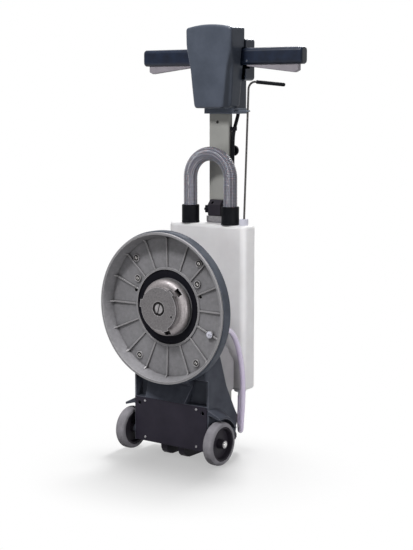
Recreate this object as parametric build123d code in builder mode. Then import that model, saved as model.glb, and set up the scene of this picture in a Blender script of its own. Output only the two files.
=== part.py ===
from build123d import *
import os
from math import cos, pi, radians, sin, tan

# Single-disc floor machine parked upright: the deck is folded up so that its disc faces
# the front, and it stands on its two wheels and on two feet under the chassis.
# Millimetres. X runs along the wheel axle, Y from front to back, Z up from the floor.
# Depths are written as distances behind a datum just behind the axle, so the front has minus signs.

os.makedirs("parts", exist_ok=True)

# Clearances
run_gap = 0.05
seat_gap = 0.1
face_gap = 0.3
swing_gap = 0.5

# Overall reach of the machine before and behind the datum, and the datum's place in the frame
front_reach = 74.5
rear_reach = 268.0
datum_y = (front_reach - rear_reach) / 2

# Chassis
chassis_half = 124.5
chassis_wall = 4.0
chassis_front = -22.0
chassis_belly = 32.0
chassis_back = 108.0
ledge_z = 155.0
recess_front = 5.0
recess_top = 216.0
cheek_t = 5.0
neck_lean = (-2.0, 202.0)
neck_foot = (-88.0, 45.0)
neck_head = (-93.0, 59.0)
plate_half = chassis_half - 3.0
plate_t = 2.5
plate_screw_x = 87.0
plate_screw_z = (43.8, 145.8)
plate_hole = (107.0, 137.0)
plate_hole_r = 6.0

# Wheels
wheel_r = 58.5
tyre_width = 29.5
wheel_x = chassis_half + 9.4 + tyre_width / 2
hub_r = wheel_r - 12.0
hub_half = tyre_width / 2 - 2.0
hub_boss_out = hub_half + 5.5
axle_at = -6.5
axle_r = 6.5
axle_half = wheel_x + hub_boss_out + 3.5
hub_boss_r = axle_r + 6.0
clip_t = 1.2
clip_r = axle_r + 3.5
guard_root_r = wheel_r + 33.0
guard_root_t = 14.0
guard_tip_r = wheel_r + 8.5
guard_tip_t = 6.0
guard_x = wheel_x + 11.5
guard_angles = (-11, 76)

# Deck casting and its bumper
deck_z = 415.5
deck_r = 203.0
deck_front = -70.0
deck_lip = 6.0
deck_floor_r = deck_r - 16.0
deck_floor_front = -35.0
deck_hole_r = 101.0
deck_hole_front = -33.5
hole_rim_h = 3.0
deck_back = -30.0
skirt_r = deck_r - 5.0
skirt_t = 6.0
skirt_back = -34.2
deck_rib_count = 16
deck_rib_t = 4.0
deck_rib_h = 5.0
bumper_t = 8.5
deck_screw_r = 2.4
deck_boss_r = 10.0
deck_boss_front = -38.0
screw_seat = deck_boss_front + 3.5
screw_head_r = 6.5
screw_head_t = 3.0
locating_hole_r = 4.5
nozzle_r = 6.0
nozzle_seat = -40.5
nozzle_tip = 3.5
nozzle_back = 12.0

# Drive hub
drive_plate_r = 57.5
drive_plate_t = 8.0
drive_lug_angles = [50, 170, 290]
drive_lug_w = 21.0
drive_lug_h = 5.5
drive_neck_r = drive_plate_r - 2.5
drive_shoulder_d = 14.0
drive_flange_r = 76.5
drive_flange_front = -44.0
drive_flange_back = -37.0
drive_shaft_r = 15.0
drive_shaft_back = 9.3
drive_recess_r = 19.5
drive_screw_r = 16.5
drive_bolt_r = 6.0
splash_front = -33.0
carrier_r = deck_hole_r + 13.0
carrier_back = -12.0
bearing_r = drive_shaft_r + 11.0
bearing_t = 9.0
drive_pulley_r = 88.0
belt_front = -7.0
belt_w = 14.0
belt_t = 4.0
pulley_lip = 3.0

# Deck cover
cover_r = skirt_r - 1.0
cover_edge_back = -21.0
cover_top_r = 110.0
cover_top = 13.5
cover_wall = 3.5

# Motor and its cover
motor_z = 235.0
motor_r = 55.0
motor_wall = 16.0
motor_back = 74.0
motor_shaft_r = 8.0
motor_pulley_r = 20.0
motor_plate_front = 9.3
motor_plate_t = 4.0
rotor_air_gap = 0.6
hood_half = chassis_half - 5.5
hood_back = 104.0
hood_shoulder = 262.0
hood_top = deck_z - 43.5
hood_wall = 3.5

# Stand feet and handle pivot
stand_gap = 38.0
stand_w = 20.0
stand_front = -16.0
pivot_z = 60.0
pivot_r = 10.0
stand_eye_r = 30.0
stand_heel = 26.0
stand_heel_h = 14.0

# Column
column_w = 68.0
column_t = 18.0
column_wall = 2.5
column_front = 201.0
column_low = 110.0
column_top = 1087.0
pivot_y = column_front + column_t / 2

# Tank
tank_half = 129.0
tank_d = 62.0
tank_h = 455.0
tank_low = 169.0
tank_wall = 3.0
tank_corner = 16.0
tank_edge = 9.0
tank_back = column_front - 2.0
tank_front = tank_back - tank_d
tank_top = tank_low + tank_h
outlet_x = 92.0
outlet_y = tank_back - 23.0
outlet_r = 17.0
outlet_low = tank_low - 23.0

# Hose arch over the tank, and the valve beside it
hose_r = 19.3
hose_valley_r = hose_r - 1.0
hose_bore_r = hose_r - 3.6
hose_x = 67.5
hose_y = tank_front + hose_r + 3.7
hose_spring = tank_top + 125.0
hose_grip = 22.0
rib_pitch = 5.0
cuff_r = hose_r + 5.1
cuff_h = 50.0
valve_cap_r = 12.5
valve_cap_h = 17.0
valve_x = hose_x + cuff_r + valve_cap_r + 1.6
valve_y = tank_back - 30.0

# Tank clamp
clamp_half = 21.0
clamp_z = (tank_top + 19.0, tank_top + 63.5)
clamp_front = column_front - 23.0
clamp_bar_half = 27.0
knob_y = column_front - 12.0
knob_z = tank_top + 37.5
knob_l = 12.0

# Head
head_low = column_top - 147.0
head_shoulder = column_top + 18.0
head_top = column_top + 70.0
head_crown = 9.0
head_front = column_front - 52.0
head_split = column_front + 11.0
head_wall = 3.5
head_half = (78.0, 77.5, 60.5)
face_half = (76.0, 71.0, 44.5)
facet_depth = 17.0
rear_block_half = head_half[0] + 4.0
rear_block_z = (column_top - 72.0, column_top + 42.0)
rear_block_back = rear_reach - 9.0
neck_back = rear_reach
neck_head_half = column_w / 2 + 16.0
collar_low = head_low - 15.0
collar_front = column_front - 4.0

# Handlebar, grips and trigger levers
grip_y = column_front + 15.0
grip_z = column_top - 7.0
grip_h = 46.0
grip_d = 32.0
grip_end = 266.0
grip_start = head_half[0] - 12.0
bar_h = 12.0
bar_d = 16.0
lever_t = 15.0
lever_pivot_x = head_half[0] + 14.0
lever_pivot_z = grip_z - 12.0
lever_pin_r = 2.5
lever_end = grip_end - 15.5
button_z = column_top - 13.0
button_travel = 4.0

# Lead, feed hose and water rod
lead_r = 5.0
feed_r = 7.5
rod_r = 2.8
rod_bend = 20.0
rod_grip_r = 5.0


def spot(x, y, z):
    """A point of the machine, with y counted behind the datum."""
    return Vector(x, datum_y + y, z)


def front_plane(y):
    """A plane facing the front, with local coordinates X and Z."""
    return Plane(spot(0, y, 0), x_dir=(1, 0, 0), z_dir=(0, -1, 0))


def side_plane(x):
    """A plane facing the right, with local coordinates Y and Z."""
    return Plane(spot(x, 0, 0), x_dir=(0, 1, 0), z_dir=(1, 0, 0))


def level(z):
    """A level plane, with local coordinates X and Y."""
    return Plane(spot(0, 0, z))


def disc_plane(angle, z=deck_z):
    """A plane through a drive axis, with local coordinates Y and radius."""
    return Plane(
        spot(0, 0, z),
        x_dir=(0, 1, 0),
        z_dir=(cos(radians(angle)), 0, -sin(radians(angle))),
    )


def disc_axis(z=deck_z):
    """The drive axis at the given height, running from front to back."""
    return Axis(spot(0, 0, z), (0, 1, 0))


wheel_plane = Plane(spot(0, axle_at, wheel_r), x_dir=(1, 0, 0), z_dir=(0, -1, 0))
axle_axis = Axis(spot(0, axle_at, wheel_r), (1, 0, 0))


def cross_axle(x, way=1):
    """A plane across the axle, facing outwards on the given side."""
    return Plane(spot(x, axle_at, wheel_r), z_dir=(way, 0, 0))


def outline(points):
    """A closed face through the given points, in the open sketch."""
    Polygon(*points, align=None)


def write(builder, name):
    """Label a finished piece and write its file."""
    builder.part.label = name
    export_step(builder.part, f"parts/{name}.step")


def polar(radius, angle):
    """A place right of and above the deck's middle, at an angle clockwise from its top."""
    return radius * sin(radians(angle)), radius * cos(radians(angle))


# Places on the deck: the lower screws keep inside the chassis, which reaches up past them
lower_screw_x = chassis_half - 29
lower_screw_z = -(((deck_floor_r - 17) ** 2 - lower_screw_x ** 2) ** 0.5)
deck_screw_places = [
    *[polar(deck_floor_r - 24, way * 40) for way in (-1, 1)],
    *[polar(deck_hole_r + 21, way * 55) for way in (-1, 1)],
    *[(way * lower_screw_x, lower_screw_z) for way in (-1, 1)],
]
chassis_top = deck_z + lower_screw_z + 25
locating_places = [polar(deck_hole_r + 13, way * 71) for way in (-1, 1)]
nozzle_place = polar(deck_floor_r - 33, 112.5)

# Wheels
clip_x = wheel_x + hub_boss_out + 0.2
for side, way in (("left", -1), ("right", 1)):
    with BuildPart() as tyre:
        with BuildSketch(wheel_plane) as tread:
            with Locations((way * wheel_x, (hub_r + wheel_r) / 2)):
                Rectangle(tyre_width, wheel_r - hub_r)
            fillet(tread.vertices().group_by(Axis.Y)[-1], tyre_width * 0.3)
        revolve(axis=axle_axis)
    write(tyre, f"{side}_tyre")

    with BuildPart() as hub:
        web_in, web_out = -4.0, 1.0
        with BuildSketch(wheel_plane):
            shape = [
                (-hub_half - 2, axle_r + run_gap),
                (hub_boss_out, axle_r + run_gap),
                (hub_boss_out, hub_boss_r - 1.5),
                (web_out, hub_boss_r + 1),
                (web_out, hub_r - 7),
                (hub_half, hub_r - 4.5),
                (hub_half, hub_r - seat_gap),
                (-hub_half, hub_r - seat_gap),
                (-hub_half, hub_r - 5.5),
                (web_in, hub_r - 7),
                (web_in, hub_boss_r + 1),
                (-hub_half - 2, hub_boss_r),
            ]
            outline([(way * (wheel_x + u), r) for u, r in shape])
        revolve(axis=axle_axis)
    write(hub, f"{side}_wheel_hub")

with BuildPart() as axle:
    with BuildSketch(cross_axle(-axle_half)):
        Circle(axle_r)
    extrude(amount=2 * axle_half)
    fillet(axle.edges().filter_by(GeomType.CIRCLE), 1.5)
    for way in (-1, 1):
        with BuildSketch(wheel_plane):
            with Locations((way * (clip_x + clip_t / 2), axle_r)):
                Rectangle(clip_t + 0.2, 2)
        revolve(axis=axle_axis, mode=Mode.SUBTRACT)
write(axle, "axle")

with BuildPart() as axle_clips:
    for way in (-1, 1):
        with BuildSketch(cross_axle(way * clip_x, way)):
            Circle(clip_r)
            Circle(axle_r - 1 + run_gap, mode=Mode.SUBTRACT)
        extrude(amount=clip_t)
write(axle_clips, "axle_clips")

# Deck casting: a dished disc with radial ribs, screw bosses and a round hole for the drive
wall_top = (deck_front + 4, deck_r - deck_lip - 1.5)
rim_front = deck_hole_front - hole_rim_h
boss_places = [(x, deck_z + z) for x, z in deck_screw_places]
boss_root = deck_back - 1
nozzle_spot = (nozzle_place[0], deck_z + nozzle_place[1])
with BuildPart() as deck_casting:
    with BuildSketch(disc_plane(0)):
        outline([
            (deck_front, deck_r),
            (deck_front, deck_r - deck_lip),
            wall_top,
            (deck_floor_front, deck_floor_r),
            (deck_hole_front, deck_hole_r + 7),
            (rim_front, deck_hole_r + 5.5),
            (rim_front, deck_hole_r),
            (deck_back, deck_hole_r),
            (deck_back, skirt_r - skirt_t),
            (skirt_back, skirt_r - skirt_t),
            (skirt_back, skirt_r),
            (deck_front + 6, skirt_r),
            (deck_front + 6, deck_r),
        ])
    revolve(axis=disc_axis())
    for k in range(deck_rib_count):
        with BuildSketch(disc_plane(360 / deck_rib_count * k)):
            outline([
                (deck_hole_front + 1, deck_hole_r + 4),
                (rim_front, deck_hole_r + 4),
                (deck_floor_front - deck_rib_h, deck_floor_r - 3),
                (deck_floor_front - 2.5 * deck_rib_h, deck_floor_r + 2),
                (deck_floor_front - 2.5 * deck_rib_h, deck_floor_r + 5),
                (deck_floor_front + 1, deck_floor_r + 2),
            ])
        extrude(amount=deck_rib_t / 2, both=True)
    with BuildSketch(front_plane(boss_root)):
        with Locations(*boss_places):
            Circle(deck_boss_r)
    extrude(amount=boss_root - deck_boss_front)
    with BuildSketch(front_plane(boss_root)):
        with Locations(nozzle_spot):
            Circle(nozzle_r + 4)
    extrude(amount=boss_root - nozzle_seat)
    with BuildSketch(front_plane(deck_front)):
        with Locations(*boss_places):
            Circle(deck_boss_r - 2)
    extrude(amount=deck_front - screw_seat, mode=Mode.SUBTRACT)
    with BuildSketch(front_plane(deck_front)):
        with Locations(*boss_places):
            Circle(deck_screw_r + seat_gap)
        with Locations(*[(x, deck_z + z) for x, z in locating_places]):
            Circle(locating_hole_r)
        with Locations(nozzle_spot):
            Circle(nozzle_r + seat_gap)
    extrude(amount=deck_front, mode=Mode.SUBTRACT)
write(deck_casting, "deck_casting")

with BuildPart() as bumper_ring:
    bumper_w = skirt_back - face_gap - (deck_front + 6 + face_gap)
    with BuildSketch(disc_plane(0)) as bumper_section:
        with Locations((deck_front + 6 + face_gap + bumper_w / 2, skirt_r + seat_gap + bumper_t / 2)):
            Rectangle(bumper_w, bumper_t)
        fillet(bumper_section.vertices().group_by(Axis.Y)[-1], bumper_t / 2)
    revolve(axis=disc_axis())
write(bumper_ring, "bumper_ring")

with BuildPart() as splash_ring:
    with BuildSketch(disc_plane(0)):
        outline([
            (splash_front, deck_hole_r - 0.5),
            (splash_front, deck_hole_r - 8),
            (splash_front + 2, drive_flange_r + 2.5),
            (deck_back - 0.2, drive_flange_r + 2.5),
            (deck_back - 0.2, deck_hole_r - 0.5),
        ])
    revolve(axis=disc_axis())
    for way in (-1, 1):
        with BuildSketch(front_plane(splash_front)):
            with Locations((0, deck_z + way * (deck_hole_r - 5))):
                Rectangle(1.2, 30)
        extrude(amount=-1.5, mode=Mode.SUBTRACT)
write(splash_ring, "splash_ring")

with BuildPart() as bearing_carrier:
    with BuildSketch(disc_plane(0)):
        outline([
            (deck_back, bearing_r + run_gap),
            (deck_back, carrier_r),
            (deck_back + 8, carrier_r),
            (deck_back + 8, bearing_r + 20),
            (carrier_back, bearing_r + 12),
            (carrier_back, bearing_r + run_gap),
        ])
    revolve(axis=disc_axis())
    for k in range(8):
        with BuildSketch(disc_plane(45 * k)):
            outline([
                (deck_back + 7, bearing_r + 10),
                (carrier_back, bearing_r + 10),
                (deck_back + 8, carrier_r - 6),
                (deck_back + 7, carrier_r - 6),
            ])
        extrude(amount=2.5, both=True)
write(bearing_carrier, "bearing_carrier")

with BuildPart() as hub_bearings:
    for start in (deck_back, carrier_back - bearing_t):
        with BuildSketch(disc_plane(0)):
            outline([
                (start, drive_shaft_r + run_gap),
                (start + bearing_t - 0.2, drive_shaft_r + run_gap),
                (start + bearing_t - 0.2, bearing_r),
                (start, bearing_r),
            ])
        revolve(axis=disc_axis())
write(hub_bearings, "hub_bearings")

# Drive: plate with three bayonet lugs on a machined hub, its shaft and pulley
plate_back = -front_reach + drive_plate_t
with BuildPart() as drive_plate:
    with BuildSketch(front_plane(plate_back)):
        with Locations((0, deck_z)):
            Circle(drive_plate_r)
        for angle in drive_lug_angles:
            with Locations(Location((0, deck_z, 0), (0, 0, angle))):
                with Locations((drive_plate_r - 5, 0)):
                    Rectangle(2 * (drive_lug_h + 5), drive_lug_w)
    extrude(amount=drive_plate_t)
    with BuildSketch(front_plane(-front_reach)):
        with Locations((0, deck_z)):
            Circle(drive_recess_r)
    extrude(amount=-5, mode=Mode.SUBTRACT)
    with BuildSketch(front_plane(-front_reach)):
        with Locations((0, deck_z)):
            Circle(drive_bolt_r + seat_gap)
        with Locations((43, deck_z - 17)):
            Circle(2.5)
    extrude(amount=-drive_plate_t, mode=Mode.SUBTRACT)
write(drive_plate, "drive_plate")

with BuildPart() as drive_hub:
    shoulder_front = drive_flange_front - drive_shoulder_d
    shoulder_h = drive_flange_r - drive_neck_r - 3
    with BuildSketch(disc_plane(0)):
        with BuildLine():
            brow = ThreePointArc(
                (shoulder_front, drive_neck_r + 3),
                (drive_flange_front - 0.7 * drive_shoulder_d, drive_neck_r + 3 + 0.7 * shoulder_h),
                (drive_flange_front, drive_flange_r),
            )
            Polyline(
                brow @ 1,
                (drive_flange_back, drive_flange_r),
                (drive_flange_back, bearing_r),
                (deck_back - 1, bearing_r - 3),
                (deck_back - 1, drive_shaft_r + run_gap),
                (plate_back, drive_shaft_r + run_gap),
                (plate_back, drive_neck_r),
                (shoulder_front - 2, drive_neck_r),
                brow @ 0,
            )
        make_face()
    revolve(axis=disc_axis())
    for angle in drive_lug_angles:
        with BuildSketch(front_plane(plate_back)):
            with Locations(Location((0, deck_z, 0), (0, 0, angle))):
                with Locations((drive_neck_r, 0)):
                    Rectangle(18, drive_lug_w + 3)
        extrude(amount=drive_flange_front - 5 - plate_back, dir=(0, 1, 0), mode=Mode.SUBTRACT)
write(drive_hub, "drive_hub")

with BuildPart() as drive_screw:
    with BuildSketch(front_plane(-front_reach + 5)):
        with Locations((0, deck_z)):
            Circle(drive_screw_r)
    extrude(amount=4)
    fillet(drive_screw.edges().group_by(Axis.Y)[0], 1)
    with BuildSketch(front_plane(-front_reach + 1)):
        with Locations(Location((0, deck_z, 0), (0, 0, 75))):
            Rectangle(2 * drive_screw_r + 2, 3)
    extrude(amount=-2, mode=Mode.SUBTRACT)
    with BuildSketch(front_plane(-front_reach + 5)):
        with Locations((0, deck_z)):
            Circle(drive_bolt_r)
    extrude(amount=-22)
write(drive_screw, "drive_screw")

with BuildPart() as drive_shaft:
    with BuildSketch(front_plane(plate_back + seat_gap)):
        with Locations((0, deck_z)):
            Circle(drive_shaft_r)
    extrude(amount=plate_back + seat_gap - drive_shaft_back)
    with BuildSketch(front_plane(plate_back)):
        with Locations((0, deck_z)):
            Circle(drive_bolt_r + seat_gap)
    extrude(amount=-22, mode=Mode.SUBTRACT)
write(drive_shaft, "drive_shaft")


def pulley_section(rim_r, bore_r, boss_r, web_r):
    """Half section of a flanged belt pulley, as depth and radius."""
    lip_r = rim_r + pulley_lip
    edge = belt_front - 1.5
    far = belt_front + belt_w + 1.5
    return [
        (edge, bore_r),
        (edge, lip_r),
        (edge + 1, lip_r),
        (belt_front, rim_r),
        (belt_front + belt_w, rim_r),
        (far - 1, lip_r),
        (far, lip_r),
        (far, web_r),
        (belt_front + 8, web_r),
        (belt_front + 8, boss_r),
        (far, boss_r),
        (far, bore_r),
    ]


with BuildPart() as drive_pulley:
    with BuildSketch(disc_plane(0)):
        boss_r = drive_shaft_r + 8
        outline(pulley_section(drive_pulley_r, drive_shaft_r + run_gap, boss_r, drive_pulley_r - 8))
    revolve(axis=disc_axis())
    with BuildSketch(front_plane(belt_front - 2)):
        with Locations((0, deck_z)):
            with PolarLocations(52, 6):
                Circle(14)
    extrude(amount=-belt_w, mode=Mode.SUBTRACT)
write(drive_pulley, "drive_pulley")

with BuildPart() as motor_pulley:
    with BuildSketch(disc_plane(0, motor_z)):
        boss_r = motor_shaft_r + 4
        outline(pulley_section(motor_pulley_r, motor_shaft_r + run_gap, boss_r, motor_pulley_r - 4))
    revolve(axis=disc_axis(motor_z))
write(motor_pulley, "motor_pulley")


def belt_loop(extra):
    """The taut loop round both pulleys, at a height above their rims."""
    with BuildSketch(front_plane(belt_front + belt_w - 0.5), mode=Mode.PRIVATE) as loop:
        with Locations((0, deck_z)):
            Circle(drive_pulley_r + extra)
        with Locations((0, motor_z)):
            Circle(motor_pulley_r + extra)
        make_hull()
    return loop.sketch


with BuildPart() as drive_belt:
    extrude(belt_loop(face_gap + belt_t), amount=belt_w - 1)
    extrude(belt_loop(face_gap), amount=belt_w - 1, mode=Mode.SUBTRACT)
write(drive_belt, "drive_belt")

# Motor on its plate behind the chassis recess
rotor_r = motor_r - motor_wall - rotor_air_gap
motor_start = motor_plate_front + motor_plate_t
with BuildPart() as motor_plate:
    with BuildSketch(front_plane(motor_plate_front)):
        with Locations((0, motor_z + 2)):
            RectangleRounded(2 * hood_half - 22, 2 * motor_r + 24, 12)
            Circle(motor_pulley_r + 8, mode=Mode.SUBTRACT)
    extrude(amount=-motor_plate_t)
write(motor_plate, "motor_plate")

with BuildPart() as motor_stator:
    with BuildSketch(disc_plane(0, motor_z)):
        outline([
            (motor_start, motor_shaft_r + run_gap),
            (motor_start, motor_r),
            (motor_back - 6, motor_r),
            (motor_back, motor_r - 8),
            (motor_back, motor_shaft_r + run_gap),
            (motor_back - 9, motor_shaft_r + run_gap),
            (motor_back - 9, motor_r - motor_wall),
            (motor_start + 9, motor_r - motor_wall),
            (motor_start + 9, motor_shaft_r + run_gap),
        ])
    revolve(axis=disc_axis(motor_z))
write(motor_stator, "motor_stator")

with BuildPart() as motor_rotor:
    with BuildSketch(disc_plane(0, motor_z)):
        outline([
            (belt_front - 1.5, 0),
            (belt_front - 1.5, motor_shaft_r),
            (motor_start + 10, motor_shaft_r),
            (motor_start + 10, rotor_r),
            (motor_back - 10, rotor_r),
            (motor_back - 10, motor_shaft_r),
            (motor_back + 4, motor_shaft_r),
            (motor_back + 4, 0),
        ])
    revolve(axis=disc_axis(motor_z))
write(motor_rotor, "motor_rotor")

# Low cover over the back of the deck, notched for the motor cover
cover_slope = [
    (skirt_back + face_gap, cover_r),
    (cover_edge_back - 6, cover_r),
    (cover_edge_back, cover_r - 7),
    (cover_top, cover_top_r),
    (cover_top, 0),
]
with BuildPart() as deck_cover:
    with BuildSketch(disc_plane(0)):
        inner = [(y - cover_wall, max(r - cover_wall, 0)) for y, r in cover_slope[2:]]
        rim_r = cover_r - cover_wall
        outline(cover_slope + inner[::-1] + [(deck_back + face_gap, rim_r), (skirt_back + face_gap, rim_r)])
    revolve(axis=disc_axis())
    for x, z in deck_screw_places[:4]:
        boss_r = (x ** 2 + z ** 2) ** 0.5
        slope = (cover_top - cover_edge_back) / (cover_r - 7 - cover_top_r)
        reach = cover_top - max(boss_r - cover_top_r, 0) * slope - cover_wall / 2 - 2
        with BuildSketch(front_plane(deck_back + face_gap)):
            with Locations((x, deck_z + z)):
                Circle(7)
                Circle(deck_screw_r + seat_gap, mode=Mode.SUBTRACT)
        extrude(amount=deck_back + face_gap - reach)
    with BuildSketch(front_plane(deck_back - 10)):
        with Locations(nozzle_spot):
            Circle(nozzle_r + 1)
        with Locations((0, hood_top + face_gap)):
            Rectangle(2 * (hood_half + face_gap), deck_r, align=(Align.CENTER, Align.MAX))
        with Locations((0, chassis_top + face_gap)):
            Rectangle(2 * (chassis_half + face_gap), deck_r, align=(Align.CENTER, Align.MAX))
    extrude(amount=-60, mode=Mode.SUBTRACT)
write(deck_cover, "deck_cover")

with BuildPart() as deck_screws:
    with BuildSketch(front_plane(screw_seat)):
        with Locations(*boss_places):
            Circle(screw_head_r)
    extrude(amount=screw_head_t)
    fillet(deck_screws.edges().group_by(Axis.Y)[0], 1)
    with BuildSketch(front_plane(screw_seat - screw_head_t)):
        for x, z in boss_places:
            with Locations(Location((x, z, 0), (0, 0, 60))):
                Rectangle(2 * screw_head_r, 2)
    extrude(amount=-1.4, mode=Mode.SUBTRACT)
    with BuildSketch(front_plane(screw_seat)):
        with Locations(*boss_places):
            Circle(deck_screw_r)
    extrude(amount=screw_seat - deck_back - 9)
write(deck_screws, "deck_screws")

with BuildPart() as water_nozzle:
    with BuildSketch(front_plane(nozzle_back)):
        with Locations(nozzle_spot):
            Circle(nozzle_r)
    extrude(amount=nozzle_back - nozzle_seat + nozzle_tip)
    fillet(water_nozzle.edges().group_by(Axis.Y)[0], 1.5)
    with BuildSketch(front_plane(nozzle_seat - seat_gap)):
        with Locations(nozzle_spot):
            Circle(nozzle_r + 3)
    extrude(amount=1.5)
    with BuildSketch(front_plane(nozzle_seat - nozzle_tip)):
        with Locations(nozzle_spot):
            Circle(2)
    extrude(amount=-30, mode=Mode.SUBTRACT)
write(water_nozzle, "water_nozzle")

# Chassis: a moulded box on the axle, open behind along the slanted parting line
chassis_brow = deck_back + 0.4
parting = [(22, chassis_top), (34, chassis_top - 19), (62, 200), (96, 138), (chassis_back - 1, 119)]
chassis_side = [
    (chassis_front, chassis_belly),
    (chassis_front, ledge_z),
    (recess_front, ledge_z),
    (recess_front, recess_top),
    (chassis_brow, recess_top + 12),
    (chassis_brow, chassis_top),
    *parting,
    (chassis_back, 66),
    (97, 57),
    (84, chassis_belly),
]
cheek_side = [
    (recess_front + 1, ledge_z - 1),
    (chassis_front + 0.6, ledge_z - 1),
    (chassis_front + 0.6, recess_top + 10.5),
    (recess_front + 1, recess_top + 1),
]
neck_side = [
    (recess_front + 1, ledge_z - 1),
    (chassis_front, ledge_z - 1),
    (chassis_front, ledge_z),
    neck_lean,
    (chassis_brow, neck_lean[1] + 10),
    (chassis_brow, recess_top + 13),
    (recess_front + 1, recess_top + 14),
]
neck_inner = [
    (motor_plate_front + 3, ledge_z + chassis_wall),
    (chassis_front + 1.6 * chassis_wall, ledge_z + chassis_wall),
    (neck_lean[0] + 1.3 * chassis_wall, neck_lean[1] + 0.6 * chassis_wall),
    (chassis_brow + chassis_wall, neck_lean[1] + 10 + 0.75 * chassis_wall),
    (chassis_brow + chassis_wall, motor_z + 11),
    (motor_plate_front + 3, motor_z + 11),
]


def neck_block(side, inset):
    """The leaning panel under the deck: a side view cut to a front view that widens upwards."""
    rise = (recess_top + 40 - ledge_z) / (neck_lean[1] - ledge_z)
    left, right = [foot + (head - foot) * rise for foot, head in zip(neck_foot, neck_head)]
    with BuildPart(mode=Mode.PRIVATE) as block:
        with BuildSketch(side_plane(0)):
            outline(side)
        extrude(amount=chassis_half, both=True)
        with BuildSketch(front_plane(chassis_back)):
            outline([
                (neck_foot[0] + inset, ledge_z),
                (neck_foot[0] + inset, ledge_z - 2),
                (neck_foot[1] - inset, ledge_z - 2),
                (neck_foot[1] - inset, ledge_z),
                (right - inset, recess_top + 40),
                (left + inset, recess_top + 40),
            ])
        extrude(amount=chassis_back - deck_front, mode=Mode.INTERSECT)
    return block.part


with BuildPart() as chassis:
    with BuildSketch(side_plane(0)):
        outline(chassis_side)
    extrude(amount=chassis_half, both=True)
    fillet(chassis.edges().filter_by(Axis.Z).group_by(Axis.Y)[0], 6)
    add(neck_block(neck_side, 0))
    for way in (-1, 1):
        with BuildSketch(side_plane(way * (chassis_half - cheek_t))):
            outline(cheek_side)
        extrude(amount=way * cheek_t)
    with BuildSketch(side_plane(0)):
        outline(chassis_side)
        offset(amount=-chassis_wall, kind=Kind.INTERSECTION, mode=Mode.REPLACE)
    extrude(amount=chassis_half - chassis_wall, both=True, mode=Mode.SUBTRACT)
    add(neck_block(neck_inner, chassis_wall), mode=Mode.SUBTRACT)
    with BuildSketch(side_plane(0)):
        outline([
            (chassis_brow + chassis_wall, chassis_top - chassis_wall - 1),
            (chassis_brow + chassis_wall, chassis_top + 1),
            (40, chassis_top + 1),
            (chassis_back + 2, 122),
            (chassis_back - chassis_wall, 116),
            (60, 180),
            (18, chassis_top - chassis_wall - 1),
        ])
    extrude(amount=chassis_half - chassis_wall, both=True, mode=Mode.SUBTRACT)
    for way in (-1, 1):
        with BuildSketch(wheel_plane):
            outline([
                (way * (chassis_half - 1), guard_root_r - guard_root_t),
                (way * (chassis_half - 1), guard_root_r),
                (way * guard_x, guard_tip_r + guard_tip_t),
                (way * guard_x, guard_tip_r),
            ])
        guard = revolve(axis=axle_axis, revolution_arc=guard_angles[1], mode=Mode.PRIVATE)
        add(guard.rotate(axle_axis, -(guard_angles[0] + guard_angles[1])))
        with BuildSketch(cross_axle(way * (chassis_half - chassis_wall), way)):
            Circle(axle_r + 7)
        extrude(amount=wheel_x - hub_half - 2 - swing_gap - chassis_half + chassis_wall)
    with BuildSketch(cross_axle(-axle_half)):
        Circle(axle_r + run_gap)
    extrude(amount=2 * axle_half, mode=Mode.SUBTRACT)
    lower_bosses = boss_places[4:]
    with BuildSketch(front_plane(deck_back + 1)):
        with Locations(*lower_bosses):
            Circle(8)
    extrude(amount=-16)
    with BuildSketch(front_plane(deck_back)):
        with Locations(*lower_bosses):
            Circle(deck_screw_r + seat_gap)
    extrude(amount=-18, mode=Mode.SUBTRACT)
    with BuildSketch(front_plane(chassis_front)):
        with Locations((0, (chassis_belly + ledge_z) / 2)):
            Rectangle(2 * plate_half - 60, ledge_z - chassis_belly - 40)
        with Locations(*[(way * plate_hole[0], plate_hole[1]) for way in (-1, 1)]):
            Circle(plate_hole_r)
        with Locations(*[(way * plate_screw_x, z) for way in (-1, 1) for z in plate_screw_z]):
            Circle(2.5)
    extrude(amount=-chassis_wall - 1, mode=Mode.SUBTRACT)
write(chassis, "chassis")

with BuildPart() as access_plate:
    plate_mid = (chassis_belly + ledge_z) / 2
    with BuildSketch(front_plane(chassis_front)):
        with Locations((0, plate_mid)):
            RectangleRounded(2 * plate_half, ledge_z - chassis_belly - 2, 5)
        with Locations(*[(way * plate_screw_x, z) for way in (-1, 1) for z in plate_screw_z]):
            Circle(2.5, mode=Mode.SUBTRACT)
        with Locations(*[(way * plate_hole[0], plate_hole[1]) for way in (-1, 1)]):
            Circle(plate_hole_r, mode=Mode.SUBTRACT)
    extrude(amount=plate_t)
write(access_plate, "access_plate")

with BuildPart() as plate_screws:
    screw_spots = [(way * plate_screw_x, z) for way in (-1, 1) for z in plate_screw_z]
    with BuildSketch(front_plane(chassis_front - plate_t)):
        with Locations(*screw_spots):
            Circle(3.6)
    extrude(amount=2)
    fillet(plate_screws.edges().group_by(Axis.Y)[0], 1.2)
    with BuildSketch(front_plane(chassis_front - plate_t)):
        with Locations(*screw_spots):
            Circle(2.4)
    extrude(amount=-9)
write(plate_screws, "plate_screws")

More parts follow.
